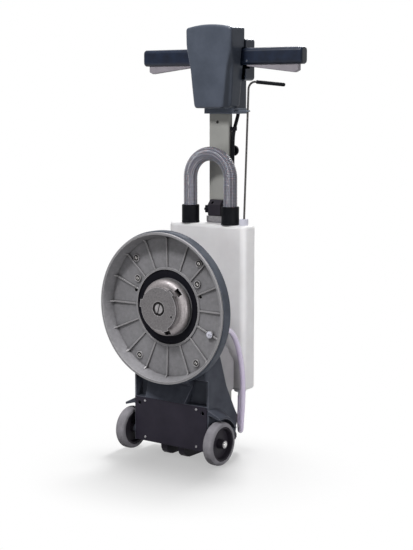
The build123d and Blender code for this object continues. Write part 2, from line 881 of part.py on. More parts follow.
# Motor cover: fills the space behind the parting line and slopes down to the deck cover
hood_side = [
    (deck_back + 2, chassis_top + face_gap),
    (parting[0][0] + face_gap, chassis_top + face_gap),
    *[(y + face_gap, z + face_gap) for y, z in parting[1:4]],
    (hood_back, 126),
    (hood_back, hood_shoulder),
    (cover_top + 3, hood_top),
    (deck_back + 2, hood_top),
]
with BuildPart() as motor_cover:
    with BuildSketch(side_plane(0)):
        outline(hood_side)
    extrude(amount=hood_half, both=True)
    fillet(motor_cover.edges().filter_by(Axis.X).group_by(Axis.Y)[-1], 18)
    with BuildSketch(side_plane(0)):
        inset_back = hood_back - hood_wall
        outline([
            (deck_back, chassis_top - 20),
            (30, chassis_top - 30),
            (60, 180),
            (94, 130),
            (inset_back, 118),
            (inset_back, hood_shoulder - 10),
            (inset_back - 8, hood_shoulder + 2),
            (cover_top - hood_wall + 1, hood_top - 6),
            (cover_top - hood_wall, hood_top + 1),
            (deck_back, hood_top + 1),
        ])
    extrude(amount=hood_half - hood_wall, both=True, mode=Mode.SUBTRACT)
    with BuildSketch(front_plane(hood_back)):
        with Locations((0, 195)):
            with GridLocations(75, 13, 2, 7):
                SlotOverall(60, 5)
    extrude(amount=-2 * hood_wall, dir=(0, 1, 0), both=True, mode=Mode.SUBTRACT)
write(motor_cover, "motor_cover")

# Stand feet, which also carry the handle pivot behind the chassis
stand_x = (stand_gap + stand_w) / 2
with BuildPart() as stand_feet:
    for way in (-1, 1):
        with BuildSketch(side_plane(way * stand_x)) as foot:
            outline([
                (stand_front, chassis_belly - seat_gap),
                (stand_front + 1, 19),
                (stand_front + 6, 10),
                (stand_front + 14, 3.5),
                (stand_front + 27, 0),
                (pivot_y + stand_heel - 6, 0),
                (pivot_y + stand_heel, 6),
                (pivot_y + stand_heel, stand_heel_h),
                (pivot_y + stand_eye_r / 2, pivot_z - stand_eye_r * cos(radians(30))),
                (pivot_y, pivot_z),
                (pivot_y, pivot_z + stand_eye_r),
                (pivot_y - 45, pivot_z + 14),
                (116, 36),
                (86, chassis_belly - seat_gap),
            ])
            with Locations((pivot_y, pivot_z)):
                Circle(stand_eye_r)
                Circle(pivot_r + run_gap, mode=Mode.SUBTRACT)
        extrude(amount=stand_w / 2, both=True)
write(stand_feet, "stand_feet")

with BuildPart() as pivot_pin:
    pin_half = stand_gap / 2 + stand_w + 3.5
    with BuildSketch(Plane(spot(-pin_half, pivot_y, pivot_z), z_dir=(1, 0, 0))):
        Circle(pivot_r)
    extrude(amount=2 * pin_half)
    for way in (-1, 1):
        with BuildSketch(Plane(spot(way * (pin_half - 3.2), pivot_y, pivot_z), z_dir=(way, 0, 0))):
            Circle(pivot_r + 4)
        extrude(amount=3.2)
write(pivot_pin, "pivot_pin")

# Course of the lead that runs from the head down the column's side and in through its wall
lead_x = column_w / 2 + lead_r + 1
lead_y = pivot_y + 0.5
lead_high = collar_low - 63
lead_drop = lead_high - (tank_top - 22)
lead_route = [
    (lead_x + 3, pivot_y + 26, head_low + 10),
    (lead_x + 2.5, pivot_y + 24, collar_low),
    (lead_x + 1.6, pivot_y + 16, collar_low - 20),
    (lead_x + 0.8, pivot_y + 7, collar_low - 41),
    (lead_x, lead_y + 1.5, lead_high),
    (lead_x, lead_y + 0.5, lead_high - 0.12 * lead_drop),
    (lead_x, lead_y, lead_high - 0.32 * lead_drop),
    (lead_x, lead_y + 0.4, lead_high - 0.51 * lead_drop),
    (lead_x, lead_y, lead_high - 0.7 * lead_drop),
    (lead_x, lead_y + 0.3, lead_high - 0.85 * lead_drop),
    (lead_x, lead_y, lead_high - lead_drop),
    (lead_x - 2.3, lead_y, lead_high - lead_drop - 20),
    (lead_x - 12.3, lead_y, lead_high - lead_drop - 35),
]
lead_points = [spot(*p) for p in lead_route]


def cord_radii(points, share=0.45):
    """The bend radius at each inner point of a cord's route."""
    radii = []
    for a, b, c in zip(points, points[1:], points[2:]):
        turn = (b - a).get_angle(c - b)
        short = min((b - a).length, (c - b).length)
        radii.append(share * short / tan(radians(turn) / 2))
    return radii


def cord_tube(points, radius):
    """A round tube along a route of straight runs and bends."""
    with BuildPart() as tube:
        with BuildLine() as line:
            FilletPolyline(*points, radius=cord_radii(points))
        path = line.wires()[0]
        with BuildSketch(Plane(points[0], z_dir=path % 0)):
            Circle(radius)
        sweep(path=path)
    print("bends", [round(r) for r in cord_radii(points)], "length", round(path.length))
    return tube.part


lead_room = cord_tube(lead_points, lead_r + seat_gap)

# Handle column on its knuckle
with BuildPart() as column_knuckle:
    with BuildSketch(side_plane(0)):
        with Locations((pivot_y, pivot_z)):
            Circle(pivot_r + 11)
        with Locations((pivot_y, (pivot_z + column_low) / 2)):
            Rectangle(column_t, column_low - pivot_z)
        with Locations((pivot_y, pivot_z)):
            Circle(pivot_r + run_gap, mode=Mode.SUBTRACT)
    extrude(amount=stand_gap / 2 - swing_gap, both=True)
    with BuildSketch(level(column_low)):
        with Locations((0, pivot_y)):
            RectangleRounded(column_w, column_t, 4)
    extrude(amount=-10)
    with BuildSketch(level(column_low)):
        with Locations((0, pivot_y)):
            Rectangle(column_w - 2 * column_wall - 0.6, column_t - 2 * column_wall - 0.6)
    extrude(amount=40)
write(column_knuckle, "column_knuckle")

with BuildPart() as column:
    with BuildSketch(level(column_low)):
        with Locations((0, pivot_y)):
            RectangleRounded(column_w, column_t, 4)
            Rectangle(column_w - 2 * column_wall, column_t - 2 * column_wall, mode=Mode.SUBTRACT)
    extrude(amount=column_top - column_low)
    with BuildSketch(front_plane(column_front - 1)):
        with Locations((-5, collar_low - 23)):
            Circle(3)
    extrude(amount=-6, mode=Mode.SUBTRACT)
    add(lead_room, mode=Mode.SUBTRACT)
write(column, "column")

with BuildPart() as tank_shelf:
    shelf_t = 4.0
    with BuildSketch(side_plane(0)):
        outline([
            (tank_front + 6, tank_low - seat_gap),
            (tank_front + 6, tank_low - shelf_t),
            (column_front - shelf_t, tank_low - shelf_t),
            (column_front - shelf_t, tank_low - 50),
            (column_front - seat_gap, tank_low - 50),
            (column_front - seat_gap, tank_low - seat_gap),
        ])
    extrude(amount=32, both=True)
    with BuildSketch(level(tank_low - shelf_t)):
        with Locations((0, (tank_front + column_front) / 2 + 1)):
            RectangleRounded(120, tank_d - 12, 8)
    extrude(amount=shelf_t - seat_gap)
    for way in (-1, 1):
        with BuildSketch(side_plane(way * 28)):
            outline([
                (tank_front + 14, tank_low - shelf_t + 1),
                (column_front - shelf_t + 1, tank_low - shelf_t + 1),
                (column_front - shelf_t + 1, tank_low - 46),
            ])
        extrude(amount=1.5, both=True)
write(tank_shelf, "tank_shelf")

# Water tank with two hose spigots, its filling neck under the valve cap and its outlet
tank_mid = (tank_front + tank_back) / 2
with BuildPart() as water_tank:
    with BuildSketch(level(tank_low)):
        with Locations((0, tank_mid)):
            RectangleRounded(2 * tank_half, tank_d, tank_corner)
    extrude(amount=tank_top - tank_low)
    fillet(water_tank.faces().filter_by(Axis.Z).edges(), tank_edge)
    with BuildSketch(level(tank_top - 2)):
        with Locations((-hose_x, hose_y), (hose_x, hose_y)):
            Circle(hose_r - 0.5)
    extrude(amount=hose_grip + 2)
    with BuildSketch(level(tank_low + tank_wall)):
        with Locations((0, tank_mid)):
            RectangleRounded(2 * (tank_half - tank_wall), tank_d - 2 * tank_wall, tank_corner - tank_wall)
    extrude(amount=tank_top - tank_low - 2 * tank_wall, mode=Mode.SUBTRACT)
    with BuildSketch(level(tank_top + hose_grip)):
        with Locations((-hose_x, hose_y), (hose_x, hose_y)):
            Circle(hose_bore_r)
    extrude(amount=-hose_grip - tank_wall - 2, mode=Mode.SUBTRACT)
    with BuildSketch(level(tank_top + 1)):
        with Locations((valve_x, valve_y)):
            Circle(rod_r + 3)
    extrude(amount=-tank_wall - 3, mode=Mode.SUBTRACT)
    with BuildSketch(level(tank_low - 1)):
        with Locations((outlet_x, outlet_y)):
            Circle(5)
    extrude(amount=tank_wall + 3, mode=Mode.SUBTRACT)
write(water_tank, "water_tank")

with BuildPart() as outlet_fitting:
    with BuildSketch(level(tank_low - seat_gap)):
        with Locations((outlet_x, outlet_y)):
            Circle(outlet_r)
    extrude(amount=-10)
    fillet(outlet_fitting.edges().group_by(Axis.Z)[0], 2)
    with BuildSketch(level(tank_low - 8)):
        with Locations((outlet_x, outlet_y)):
            Circle(6.5)
    extrude(amount=outlet_low - tank_low + 8)
write(outlet_fitting, "outlet_fitting")

with BuildPart() as valve_cap:
    with BuildSketch(level(tank_top + seat_gap)):
        with Locations((valve_x, valve_y)):
            Circle(valve_cap_r)
            with PolarLocations(valve_cap_r + 0.6, 18):
                Circle(1.3, mode=Mode.SUBTRACT)
    extrude(amount=valve_cap_h)
    with BuildSketch(level(tank_top)):
        with Locations((valve_x, valve_y)):
            Circle(rod_r + 2.2)
    extrude(amount=valve_cap_h + 1, mode=Mode.SUBTRACT)
write(valve_cap, "valve_cap")

# Ribbed hose arched between two cuffs
cuff_top = tank_top + cuff_h
hose_start = cuff_top - hose_grip
with BuildPart() as hose_cuffs:
    low = tank_top + 0.2
    step = hose_start - 1
    for way in (-1, 1):
        with BuildSketch(Plane(spot(way * hose_x, hose_y, 0), x_dir=(1, 0, 0), z_dir=(0, -1, 0))):
            outline([
                (hose_r - 0.4, low),
                (cuff_r + 0.6, low),
                (cuff_r + 0.6, low + 5),
                (cuff_r, low + 6),
                (cuff_r, cuff_top - 2),
                (cuff_r - 1.5, cuff_top),
                (hose_r + seat_gap, cuff_top),
                (hose_r + seat_gap, step),
                (hose_r - 0.4, step),
            ])
        revolve(axis=Axis(spot(way * hose_x, hose_y, 0), (0, 0, 1)))
write(hose_cuffs, "hose_cuffs")

limb = hose_spring - hose_start
arch = pi * hose_x
hose_length = 2 * limb + arch


def hose_section(s):
    """The plane square to the hose, a distance s along it from the left end."""
    if s < limb:
        return Plane(spot(-hose_x, hose_y, hose_start + s), x_dir=(0, 1, 0), z_dir=(0, 0, 1))
    if s > limb + arch:
        drop = s - limb - arch
        return Plane(spot(hose_x, hose_y, hose_spring - drop), x_dir=(0, 1, 0), z_dir=(0, 0, -1))
    turn = (s - limb) / hose_x
    place = spot(-hose_x * cos(turn), hose_y, hose_spring + hose_x * sin(turn))
    return Plane(place, x_dir=(0, 1, 0), z_dir=(sin(turn), 0, cos(turn)))


plain_end = 2 * hose_r
rib_count = int((hose_length - 2 * plain_end) / rib_pitch)
rib_start = (hose_length - rib_count * rib_pitch) / 2
rings = [(0, hose_r)]
for k in range(rib_count):
    root = rib_start + k * rib_pitch
    for share, radius in ((0.05, hose_valley_r), (0.3, hose_r), (0.7, hose_r), (0.95, hose_valley_r)):
        rings.append((root + share * rib_pitch, radius))
rings.append((hose_length, hose_r))
with BuildPart() as u_hose:
    for s, radius in rings:
        with BuildSketch(hose_section(s)):
            Circle(radius)
    loft(ruled=True)
    with BuildLine() as bore_line:
        rise = Line(spot(-hose_x, hose_y, hose_start), spot(-hose_x, hose_y, hose_spring))
        crown = spot(0, hose_y, hose_spring + hose_x)
        bow = ThreePointArc(rise @ 1, crown, spot(hose_x, hose_y, hose_spring))
        Line(bow @ 1, spot(hose_x, hose_y, hose_start))
    with BuildSketch(hose_section(0)):
        Circle(hose_bore_r)
    sweep(path=bore_line.wires()[0], mode=Mode.SUBTRACT)
write(u_hose, "u_hose")

# Tank clamp on the column: moulded block, star knob and steel bar over the tank
with BuildPart() as tank_clamp:
    with BuildSketch(side_plane(0)):
        outline([
            (column_front - seat_gap, clamp_z[0]),
            (column_front - seat_gap, clamp_z[1]),
            (column_front - 12, clamp_z[1]),
            (clamp_front, clamp_z[1] - 12),
            (clamp_front, clamp_z[0]),
        ])
    extrude(amount=clamp_half, both=True)
    fillet(tank_clamp.edges().filter_by(Axis.X).group_by(Axis.Y)[0], 4)
    with BuildSketch(side_plane(-clamp_half)):
        with Locations((knob_y, knob_z)):
            Circle(4 + run_gap)
    extrude(amount=30, mode=Mode.SUBTRACT)
    with BuildSketch(front_plane(clamp_front - 1)):
        with Locations((-8, clamp_z[1] - 8)):
            Circle(4)
    extrude(amount=-12, mode=Mode.SUBTRACT)
write(tank_clamp, "tank_clamp")

with BuildPart() as clamp_knob:
    with BuildSketch(side_plane(-clamp_half - swing_gap)):
        with Locations((knob_y, knob_z)):
            Circle(8.5)
            with PolarLocations(8, 6):
                Circle(3.6)
    extrude(amount=-knob_l)
    with BuildSketch(side_plane(-clamp_half - 1)):
        with Locations((knob_y, knob_z)):
            Circle(4)
    extrude(amount=24)
write(clamp_knob, "clamp_knob")

with BuildPart() as clamp_bar:
    bar_low = tank_top + 0.2
    with BuildSketch(side_plane(0)):
        outline([
            (clamp_front + 2, clamp_z[0] - seat_gap),
            (clamp_front + 2, bar_low + 4),
            (clamp_front + 5, bar_low),
            (column_front - 5, bar_low),
            (column_front - 2, bar_low + 4),
            (column_front - 2, clamp_z[0] - seat_gap),
            (column_front - 5, clamp_z[0] - seat_gap),
            (column_front - 5, bar_low + 4),
            (clamp_front + 5, bar_low + 4),
            (clamp_front + 5, clamp_z[0] - seat_gap),
        ])
    extrude(amount=clamp_bar_half, both=True)
write(clamp_bar, "clamp_bar")


# Head: front cover with a shield-shaped face, rear cover and collar
def shield(y, halves, shrink=0.0):
    """The head's outline at a depth, narrower by a margin."""
    top, mid, low = [half - shrink for half in halves]
    edge = head_top - shrink
    foot = head_low + shrink
    with BuildSketch(front_plane(y)) as face:
        with BuildLine():
            ThreePointArc((-top, edge), (0, edge + head_crown), (top, edge))
            Polyline(
                (top, edge),
                (mid, head_shoulder),
                (low, foot),
                (-low, foot),
                (-mid, head_shoulder),
                (-top, edge),
            )
        make_face()
        fillet(face.vertices().group_by(Axis.Y)[0], 14)
        fillet(face.vertices().filter_by(lambda v: v.Y > edge - 1), 7)
    return face.sketch


def cheeks(y):
    """The front view that trims the head to its slanting cheeks and round chin, at a depth."""
    chin = face_half[2] + (y - head_front) * (head_half[2] - face_half[2]) / facet_depth
    rise = head_top + 20 - head_low
    temple = chin + (face_half[1] - face_half[2]) * rise / (head_shoulder - head_low)
    with BuildSketch(front_plane(y)) as trim:
        outline([
            (-chin, head_low - 0.5),
            (chin, head_low - 0.5),
            (temple, head_low + rise),
            (-temple, head_low + rise),
        ])
        fillet(trim.vertices().group_by(Axis.Y)[0], 12)
    return trim.sketch


grip_low = grip_z - grip_h / 2
lever_slot_h = 10.0
with BuildPart() as head_front_cover:
    loft([shield(head_split, head_half), shield(head_front, [half - 2 for half in head_half])])
    loft([cheeks(head_front - 1), cheeks(head_split + 1)], mode=Mode.INTERSECT)
    fillet(head_front_cover.faces().sort_by(Axis.Y)[0].edges(), 3.5)
    hollow_back = shield(head_split - head_wall, head_half, head_wall)
    hollow_front = shield(head_front + head_wall, face_half, head_wall)
    loft([hollow_back, hollow_front], mode=Mode.SUBTRACT)
    with BuildSketch(front_plane(head_split)):
        with Locations((0, (head_low + rear_block_z[1]) / 2)):
            Rectangle(2 * neck_head_half - 8, rear_block_z[1] - head_low - 2 * head_wall)
    extrude(amount=2 * head_wall, mode=Mode.SUBTRACT)
    with BuildSketch(level(head_low - 1)):
        with Locations((0, pivot_y)):
            Rectangle(column_w + 1, column_t + 1)
    extrude(amount=12, mode=Mode.SUBTRACT)
    with BuildSketch(side_plane(-120)):
        with Locations((grip_y, grip_z)):
            Rectangle(grip_d + 2 * swing_gap, grip_h + 2 * swing_gap)
    extrude(amount=240, mode=Mode.SUBTRACT)
write(head_front_cover, "head_front_cover")

with BuildPart() as head_rear_cover:
    with BuildSketch(front_plane(head_split + face_gap)) as block:
        with Locations((0, (rear_block_z[0] + rear_block_z[1]) / 2)):
            RectangleRounded(2 * rear_block_half, rear_block_z[1] - rear_block_z[0], 10)
    extrude(amount=head_split + face_gap - rear_block_back)
    fillet(head_rear_cover.faces().sort_by(Axis.Y)[-1].edges(), 8)
    with BuildSketch(front_plane(head_split + face_gap)):
        with Locations((0, (head_low + rear_block_z[0]) / 2 + 6)):
            Rectangle(2 * neck_head_half, rear_block_z[0] - head_low + 12)
    extrude(amount=head_split + face_gap - neck_back)
    fillet(head_rear_cover.edges().filter_by(Axis.Z).group_by(Axis.Y)[-1], 10)
    with BuildSketch(front_plane(head_split)):
        with Locations((0, (rear_block_z[0] + rear_block_z[1]) / 2)):
            Rectangle(
                2 * (rear_block_half - head_wall),
                rear_block_z[1] - rear_block_z[0] - 2 * head_wall,
            )
    extrude(amount=head_split - rear_block_back + head_wall, mode=Mode.SUBTRACT)
    with BuildSketch(front_plane(head_split)):
        with Locations((0, (head_low + rear_block_z[0]) / 2 + 6)):
            Rectangle(2 * (neck_head_half - head_wall), rear_block_z[0] - head_low + 4)
    extrude(amount=head_split - neck_back + head_wall, mode=Mode.SUBTRACT)
    with BuildSketch(level(head_low - 1)):
        with Locations((0, pivot_y)):
            Rectangle(column_w + 1, column_t + 1)
    extrude(amount=14, mode=Mode.SUBTRACT)
    add(lead_room, mode=Mode.SUBTRACT)
    with BuildSketch(side_plane(-120)):
        with Locations((grip_y, grip_z)):
            Rectangle(grip_d + 2 * swing_gap, grip_h + 2 * swing_gap)
        with Locations((grip_y, grip_low)):
            Rectangle(grip_d + 2 * swing_gap, 2 * lever_slot_h)
    extrude(amount=240, mode=Mode.SUBTRACT)
    with BuildSketch(front_plane(rear_block_back - head_wall - 1)):
        with Locations((0, button_z)):
            Circle(11 + face_gap)
    extrude(amount=-10, mode=Mode.SUBTRACT)
write(head_rear_cover, "head_rear_cover")

with BuildPart() as head_collar:
    with BuildSketch(level(collar_low)):
        with Locations((0, (collar_front + neck_back) / 2)):
            RectangleRounded(2 * neck_head_half, neck_back - collar_front, 6)
        with Locations((0, pivot_y)):
            Rectangle(column_w + 0.4, column_t + 0.4, mode=Mode.SUBTRACT)
    extrude(amount=head_low - collar_low - seat_gap)
    add(lead_room, mode=Mode.SUBTRACT)
write(head_collar, "head_collar")

# Handlebar on the column's top, with grips slotted for the trigger levers
with BuildPart() as handlebar:
    with BuildSketch(side_plane(0)):
        with Locations((grip_y, column_top + seat_gap + bar_h / 2)):
            RectangleRounded(bar_d, bar_h, 2)
    extrude(amount=grip_end - 12, both=True)
write(handlebar, "handlebar")

slot_top = grip_z + 3.5
lever_rest = [
    (lever_pivot_x - 14, lever_pivot_z + 4),
    (lever_pivot_x - 14, lever_pivot_z - 6),
    (lever_pivot_x - 4, grip_z - 27),
    (lever_end - 12, grip_z - 44.5),
    (lever_end, grip_z - 39),
    (lever_end, grip_z - 22),
    (lever_end - 6, grip_z - 17),
    (lever_pivot_x + 8, lever_pivot_z + 7),
]
for side, way in (("left", -1), ("right", 1)):
    with BuildPart() as grip:
        with BuildSketch(side_plane(way * grip_start)):
            with Locations((grip_y, grip_z)):
                RectangleRounded(grip_d, grip_h, 11)
            with Locations((grip_y, (grip_low + slot_top) / 2 - 1)):
                Rectangle(lever_t + 2 * swing_gap, slot_top - grip_low + 2, mode=Mode.SUBTRACT)
            with Locations((grip_y, column_top + seat_gap + bar_h / 2)):
                Rectangle(bar_d + 2 * seat_gap, bar_h + 2 * seat_gap, mode=Mode.SUBTRACT)
        extrude(amount=way * (lever_end + 4 - grip_start))
        with BuildSketch(side_plane(way * (lever_end + 4))):
            with Locations((grip_y, grip_z)):
                RectangleRounded(grip_d, grip_h, 11)
        extrude(amount=way * (grip_end - lever_end - 4))
        fillet(grip.faces().sort_by(Axis.X)[-1 if way > 0 else 0].edges(), 6)
        with BuildSketch(side_plane(way * (lever_end + 3))):
            with Locations((grip_y, column_top + seat_gap + bar_h / 2)):
                Rectangle(bar_d + 2 * seat_gap, bar_h + 2 * seat_gap)
        extrude(amount=way * (grip_end - 12 + face_gap - lever_end - 3), mode=Mode.SUBTRACT)
        with BuildSketch(front_plane(grip_y + grip_d)):
            with Locations((way * lever_pivot_x, lever_pivot_z)):
                Circle(lever_pin_r + run_gap)
        extrude(amount=2 * grip_d, mode=Mode.SUBTRACT)
    write(grip, f"{side}_grip")

    with BuildPart() as lever:
        with BuildSketch(front_plane(grip_y)) as blade:
            outline([(way * x, z) for x, z in lever_rest])
            fillet(blade.vertices(), 3)
        extrude(amount=lever_t / 2, both=True)
        fillet(lever.faces().filter_by(Axis.Y).edges(), 2)
        with BuildSketch(front_plane(grip_y)):
            with Locations((way * lever_pivot_x, lever_pivot_z)):
                Circle(lever_pin_r + run_gap)
        extrude(amount=lever_t, both=True, mode=Mode.SUBTRACT)
    write(lever, f"{side}_lever")

with BuildPart() as lever_pins:
    with BuildSketch(front_plane(grip_y + grip_d / 2 - 1)):
        with Locations((-lever_pivot_x, lever_pivot_z), (lever_pivot_x, lever_pivot_z)):
            Circle(lever_pin_r)
    extrude(amount=grip_d - 2)
write(lever_pins, "lever_pins")

# Switch block and safety button behind the column, in the rear cover
with BuildPart() as switch_block:
    with BuildSketch(front_plane(pivot_y + column_t / 2 + seat_gap)):
        with Locations((0, column_top - 40)):
            Rectangle(60, 76)
    extrude(amount=-18)
write(switch_block, "switch_block")

with BuildPart() as safety_button:
    flange_back = rear_block_back - head_wall - face_gap
    for near, far, radius in (
        (flange_back - 3, flange_back, 13),
        (flange_back, rear_block_back + 5, 11),
        (pivot_y + column_t / 2 + 18.1 + button_travel + swing_gap, flange_back - 3, 5),
    ):
        with BuildSketch(front_plane(far)):
            with Locations((0, button_z)):
                Circle(radius)
        extrude(amount=far - near)
    fillet(safety_button.edges().group_by(Axis.Y)[-1], 2)
write(safety_button, "safety_button")

# Lead from the head down the column's side and in through its wall
with BuildPart() as motor_lead:
    add(cord_tube(lead_points, lead_r))
write(motor_lead, "motor_lead")

with BuildPart() as cable_clips:
    for z, y in ((collar_low - 41, pivot_y + 7), (lead_high - 0.6 * lead_drop, lead_y + 0.2)):
        with BuildSketch(level(z - 5)):
            with Locations((lead_x, y)):
                Circle(lead_r + 3)
            with Locations(((column_w / 2 + lead_x) / 2 + 0.5, pivot_y + 3)):
                Rectangle(lead_x - column_w / 2 + 0.6, 11)
            with Locations((0, pivot_y)):
                Rectangle(column_w + 0.2, column_t, mode=Mode.SUBTRACT)
        extrude(amount=10)
    add(lead_room, mode=Mode.SUBTRACT)
write(cable_clips, "cable_clips")

with BuildPart() as cable_cleat:
    cleat_start = pivot_y + column_t / 2 + seat_gap
    cleat_z = collar_low - 102
    with BuildSketch(front_plane(cleat_start)):
        with Locations((0, cleat_z)):
            RectangleRounded(36, 22, 5)
    extrude(amount=-24)
    with BuildSketch(front_plane(cleat_start + 23)):
        with Locations((0, cleat_z)):
            SlotOverall(70, 30)
    extrude(amount=-8)
    fillet(cable_cleat.faces().sort_by(Axis.Y)[-1].edges(), 3)
write(cable_cleat, "cable_cleat")

with BuildPart() as cable_gland:
    with BuildSketch(level(collar_low - seat_gap)):
        with Locations((-22, neck_back - 22)):
            RegularPolygon(11, 6)
    extrude(amount=-7)
    with BuildSketch(level(collar_low - 7)):
        with Locations((-22, neck_back - 22)):
            Circle(8.5)
    extrude(amount=-12)
    with BuildSketch(level(collar_low - 30)):
        with Locations((-22, neck_back - 22)):
            Circle(4.5)
    extrude(amount=29, mode=Mode.SUBTRACT)
write(cable_gland, "cable_gland")

# Pull rod that lifts the tank valve
rod_foot = spot(valve_x, valve_y, tank_top - 20)
rod_knee = spot(valve_x + 1, column_front - 12, column_top - 74)
rod_tip = spot(valve_x + 113, column_front - 12, column_top - 84)
with BuildPart() as water_rod:
    with BuildLine() as rod_line:
        FilletPolyline(rod_foot, rod_knee, rod_tip, radius=rod_bend)
    with BuildSketch(Plane(rod_foot, z_dir=rod_knee - rod_foot)):
        Circle(rod_r)
    sweep(path=rod_line.wires()[0])
write(water_rod, "water_rod")

with BuildPart() as rod_grip:
    reach = (rod_tip - rod_knee).normalized()
    with BuildSketch(Plane(rod_tip + reach * 3, z_dir=-reach)):
        Circle(rod_grip_r)
    extrude(amount=89)
    fillet(rod_grip.edges().sort_by(Axis.X)[-1], 3)
    with BuildSketch(Plane(rod_tip + reach * 0.2, z_dir=-reach)):
        Circle(rod_r + run_gap)
    extrude(amount=89, mode=Mode.SUBTRACT)
write(rod_grip, "rod_grip")

guide_z = collar_low + 6
guide_share = (guide_z - rod_foot.Z) / (rod_knee.Z - rod_foot.Z)
guide_eye = rod_foot + (rod_knee - rod_foot) * guide_share
with BuildPart() as rod_guide:
    with BuildSketch(Plane((0, 0, guide_z))):
        with Locations((guide_eye.X, guide_eye.Y)):
            Circle(6.5)
        with BuildLine():
            Polyline(
                (guide_eye.X - 2, guide_eye.Y - 5),
                (guide_eye.X + 3, guide_eye.Y + 4),
                (neck_head_half + seat_gap, datum_y + collar_front + 26),
                (neck_head_half + seat_gap, datum_y + collar_front + 10),
                close=True,
            )
        make_face()
        with Locations((guide_eye.X, guide_eye.Y)):
            Circle(rod_r + 0.8, mode=Mode.SUBTRACT)
    extrude(amount=4)
write(rod_guide, "rod_guide")

# Clear feed hose: hangs in a slack loop from the tank outlet and rises to the deck
nozzle_x, nozzle_z = nozzle_spot
feed_x = chassis_half + 7
feed_route = [
    (nozzle_x, nozzle_back + seat_gap, nozzle_z),
    (nozzle_x, nozzle_back + 20, nozzle_z),
    (0.6 * nozzle_x + 0.4 * feed_x, 57, nozzle_z - 3),
    (0.3 * nozzle_x + 0.7 * feed_x, 80, nozzle_z - 19),
    (feed_x, 101, nozzle_z - 45),
    (feed_x - 1.5, 117, nozzle_z - 79),
    (feed_x - 1, 127, 240),
    (feed_x - 0.5, 131, 200),
    (feed_x, 131, 160),
    (feed_x, 128.5, 124),
    (feed_x - 0.5, 125.5, 101),
    (feed_x - 0.7, 124.2, 74),
    (feed_x - 12, 138.4, 56),
    (outlet_x + 11.5, outlet_y - 17.4, 56),
    (outlet_x + 0.2, outlet_y - 3.2, 74),
    (outlet_x - 0.5, outlet_y - 1, 98),
    (outlet_x, outlet_y, outlet_low - 24),
    (outlet_x, outlet_y, outlet_low),
]
feed_points = [spot(*p) for p in feed_route]
with BuildPart() as feed_hose:
    add(cord_tube(feed_points, feed_r))
write(feed_hose, "feed_hose")
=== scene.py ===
"""Looks of a single-disc floor machine that stands parked on its wheels, deck folded up."""

from math import cos, pi, radians, sin

import bmesh
import bpy
from mathutils import Matrix, Vector


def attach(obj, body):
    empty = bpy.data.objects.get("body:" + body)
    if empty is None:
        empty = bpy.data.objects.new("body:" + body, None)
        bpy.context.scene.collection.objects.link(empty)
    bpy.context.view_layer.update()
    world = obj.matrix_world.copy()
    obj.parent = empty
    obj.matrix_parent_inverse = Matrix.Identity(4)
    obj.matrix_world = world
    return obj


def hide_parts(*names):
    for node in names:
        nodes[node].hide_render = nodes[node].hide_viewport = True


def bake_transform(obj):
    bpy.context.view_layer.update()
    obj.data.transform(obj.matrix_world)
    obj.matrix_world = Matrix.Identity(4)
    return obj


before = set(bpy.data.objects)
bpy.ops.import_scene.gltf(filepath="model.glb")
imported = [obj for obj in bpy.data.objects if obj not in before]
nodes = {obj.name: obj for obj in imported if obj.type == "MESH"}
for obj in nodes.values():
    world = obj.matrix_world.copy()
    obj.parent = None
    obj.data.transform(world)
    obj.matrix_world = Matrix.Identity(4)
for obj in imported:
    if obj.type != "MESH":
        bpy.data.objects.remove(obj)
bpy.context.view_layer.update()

# Places that materials and pieces share, in metres; further down, a bare size is in millimetres
MM = 0.001
DATUM_Y = -0.09675
DECK_Z = 0.4155
MOTOR_Z = 0.235
DECK_SCREWS = [(way * x * MM, DECK_Z + z * MM) for x, z in [(104.8, 124.9), (99.9, 70.0), (95.5, -140.6)]
               for way in (-1, 1)]
LOCATING_HOLES = [(way * 107.8 * MM, DECK_Z + 37.1 * MM) for way in (-1, 1)]


def spot(x, y, z):
    """A point of the machine in metres, from millimetres, with its depth counted behind the datum."""
    return Vector((x * MM, y * MM + DATUM_Y, z * MM))


COLUMN_HOLE = spot(-5, 201, 902)

# Materials

# The wave texture runs 20 radians to a unit, so a radian of 0.8 mm makes a ring every 5 mm
RING_RADIAN, WAVE_RADIANS = 0.8, 20
# The painted highlight streaks' pattern counts in radii of the hose, so this makes one about every 6 mm
HIGHLIGHT_STREAK_SCALE = 3.2
# How far the painted shade in bores, holes, screw rims and slots takes to end, in millimetres
BORE_BLUR, HOLE_BLUR, RIM_BLUR, SLOT_BLUR = 0.3, 0.5, 0.5, 0.2


def srgb(code):
    """A hex colour as linear red, green, blue and alpha."""
    parts = [int(code[i:i + 2], 16) / 255 for i in (1, 3, 5)]
    return tuple(c / 12.92 if c <= 0.04045 else ((c + 0.055) / 1.055) ** 2.4 for c in parts) + (1.0,)


def per_mm(size):
    """The scale that gives a pattern features of a size in millimetres."""
    return 1 / (size * MM)


def put(tree, kind, inputs=None, **settings):
    """Adds a shader node, sets it up and links or fills its sockets."""
    node = tree.nodes.new("ShaderNode" + kind)
    for name, value in settings.items():
        setattr(node, name, value)
    for socket, value in (inputs or {}).items():
        if isinstance(value, bpy.types.NodeSocket):
            tree.links.new(value, node.inputs[socket])
        else:
            node.inputs[socket].default_value = value
    return node


def start(name, sockets):
    """A material with its shader's even values set, ready for its patterns."""
    material = bpy.data.materials.new(name)
    material.use_nodes = True
    tree = material.node_tree
    shader = tree.nodes["Principled BSDF"]
    for socket, value in sockets.items():
        shader.inputs[socket].default_value = value
    place = put(tree, "TexCoord").outputs["Object"]
    return material, tree, shader, place


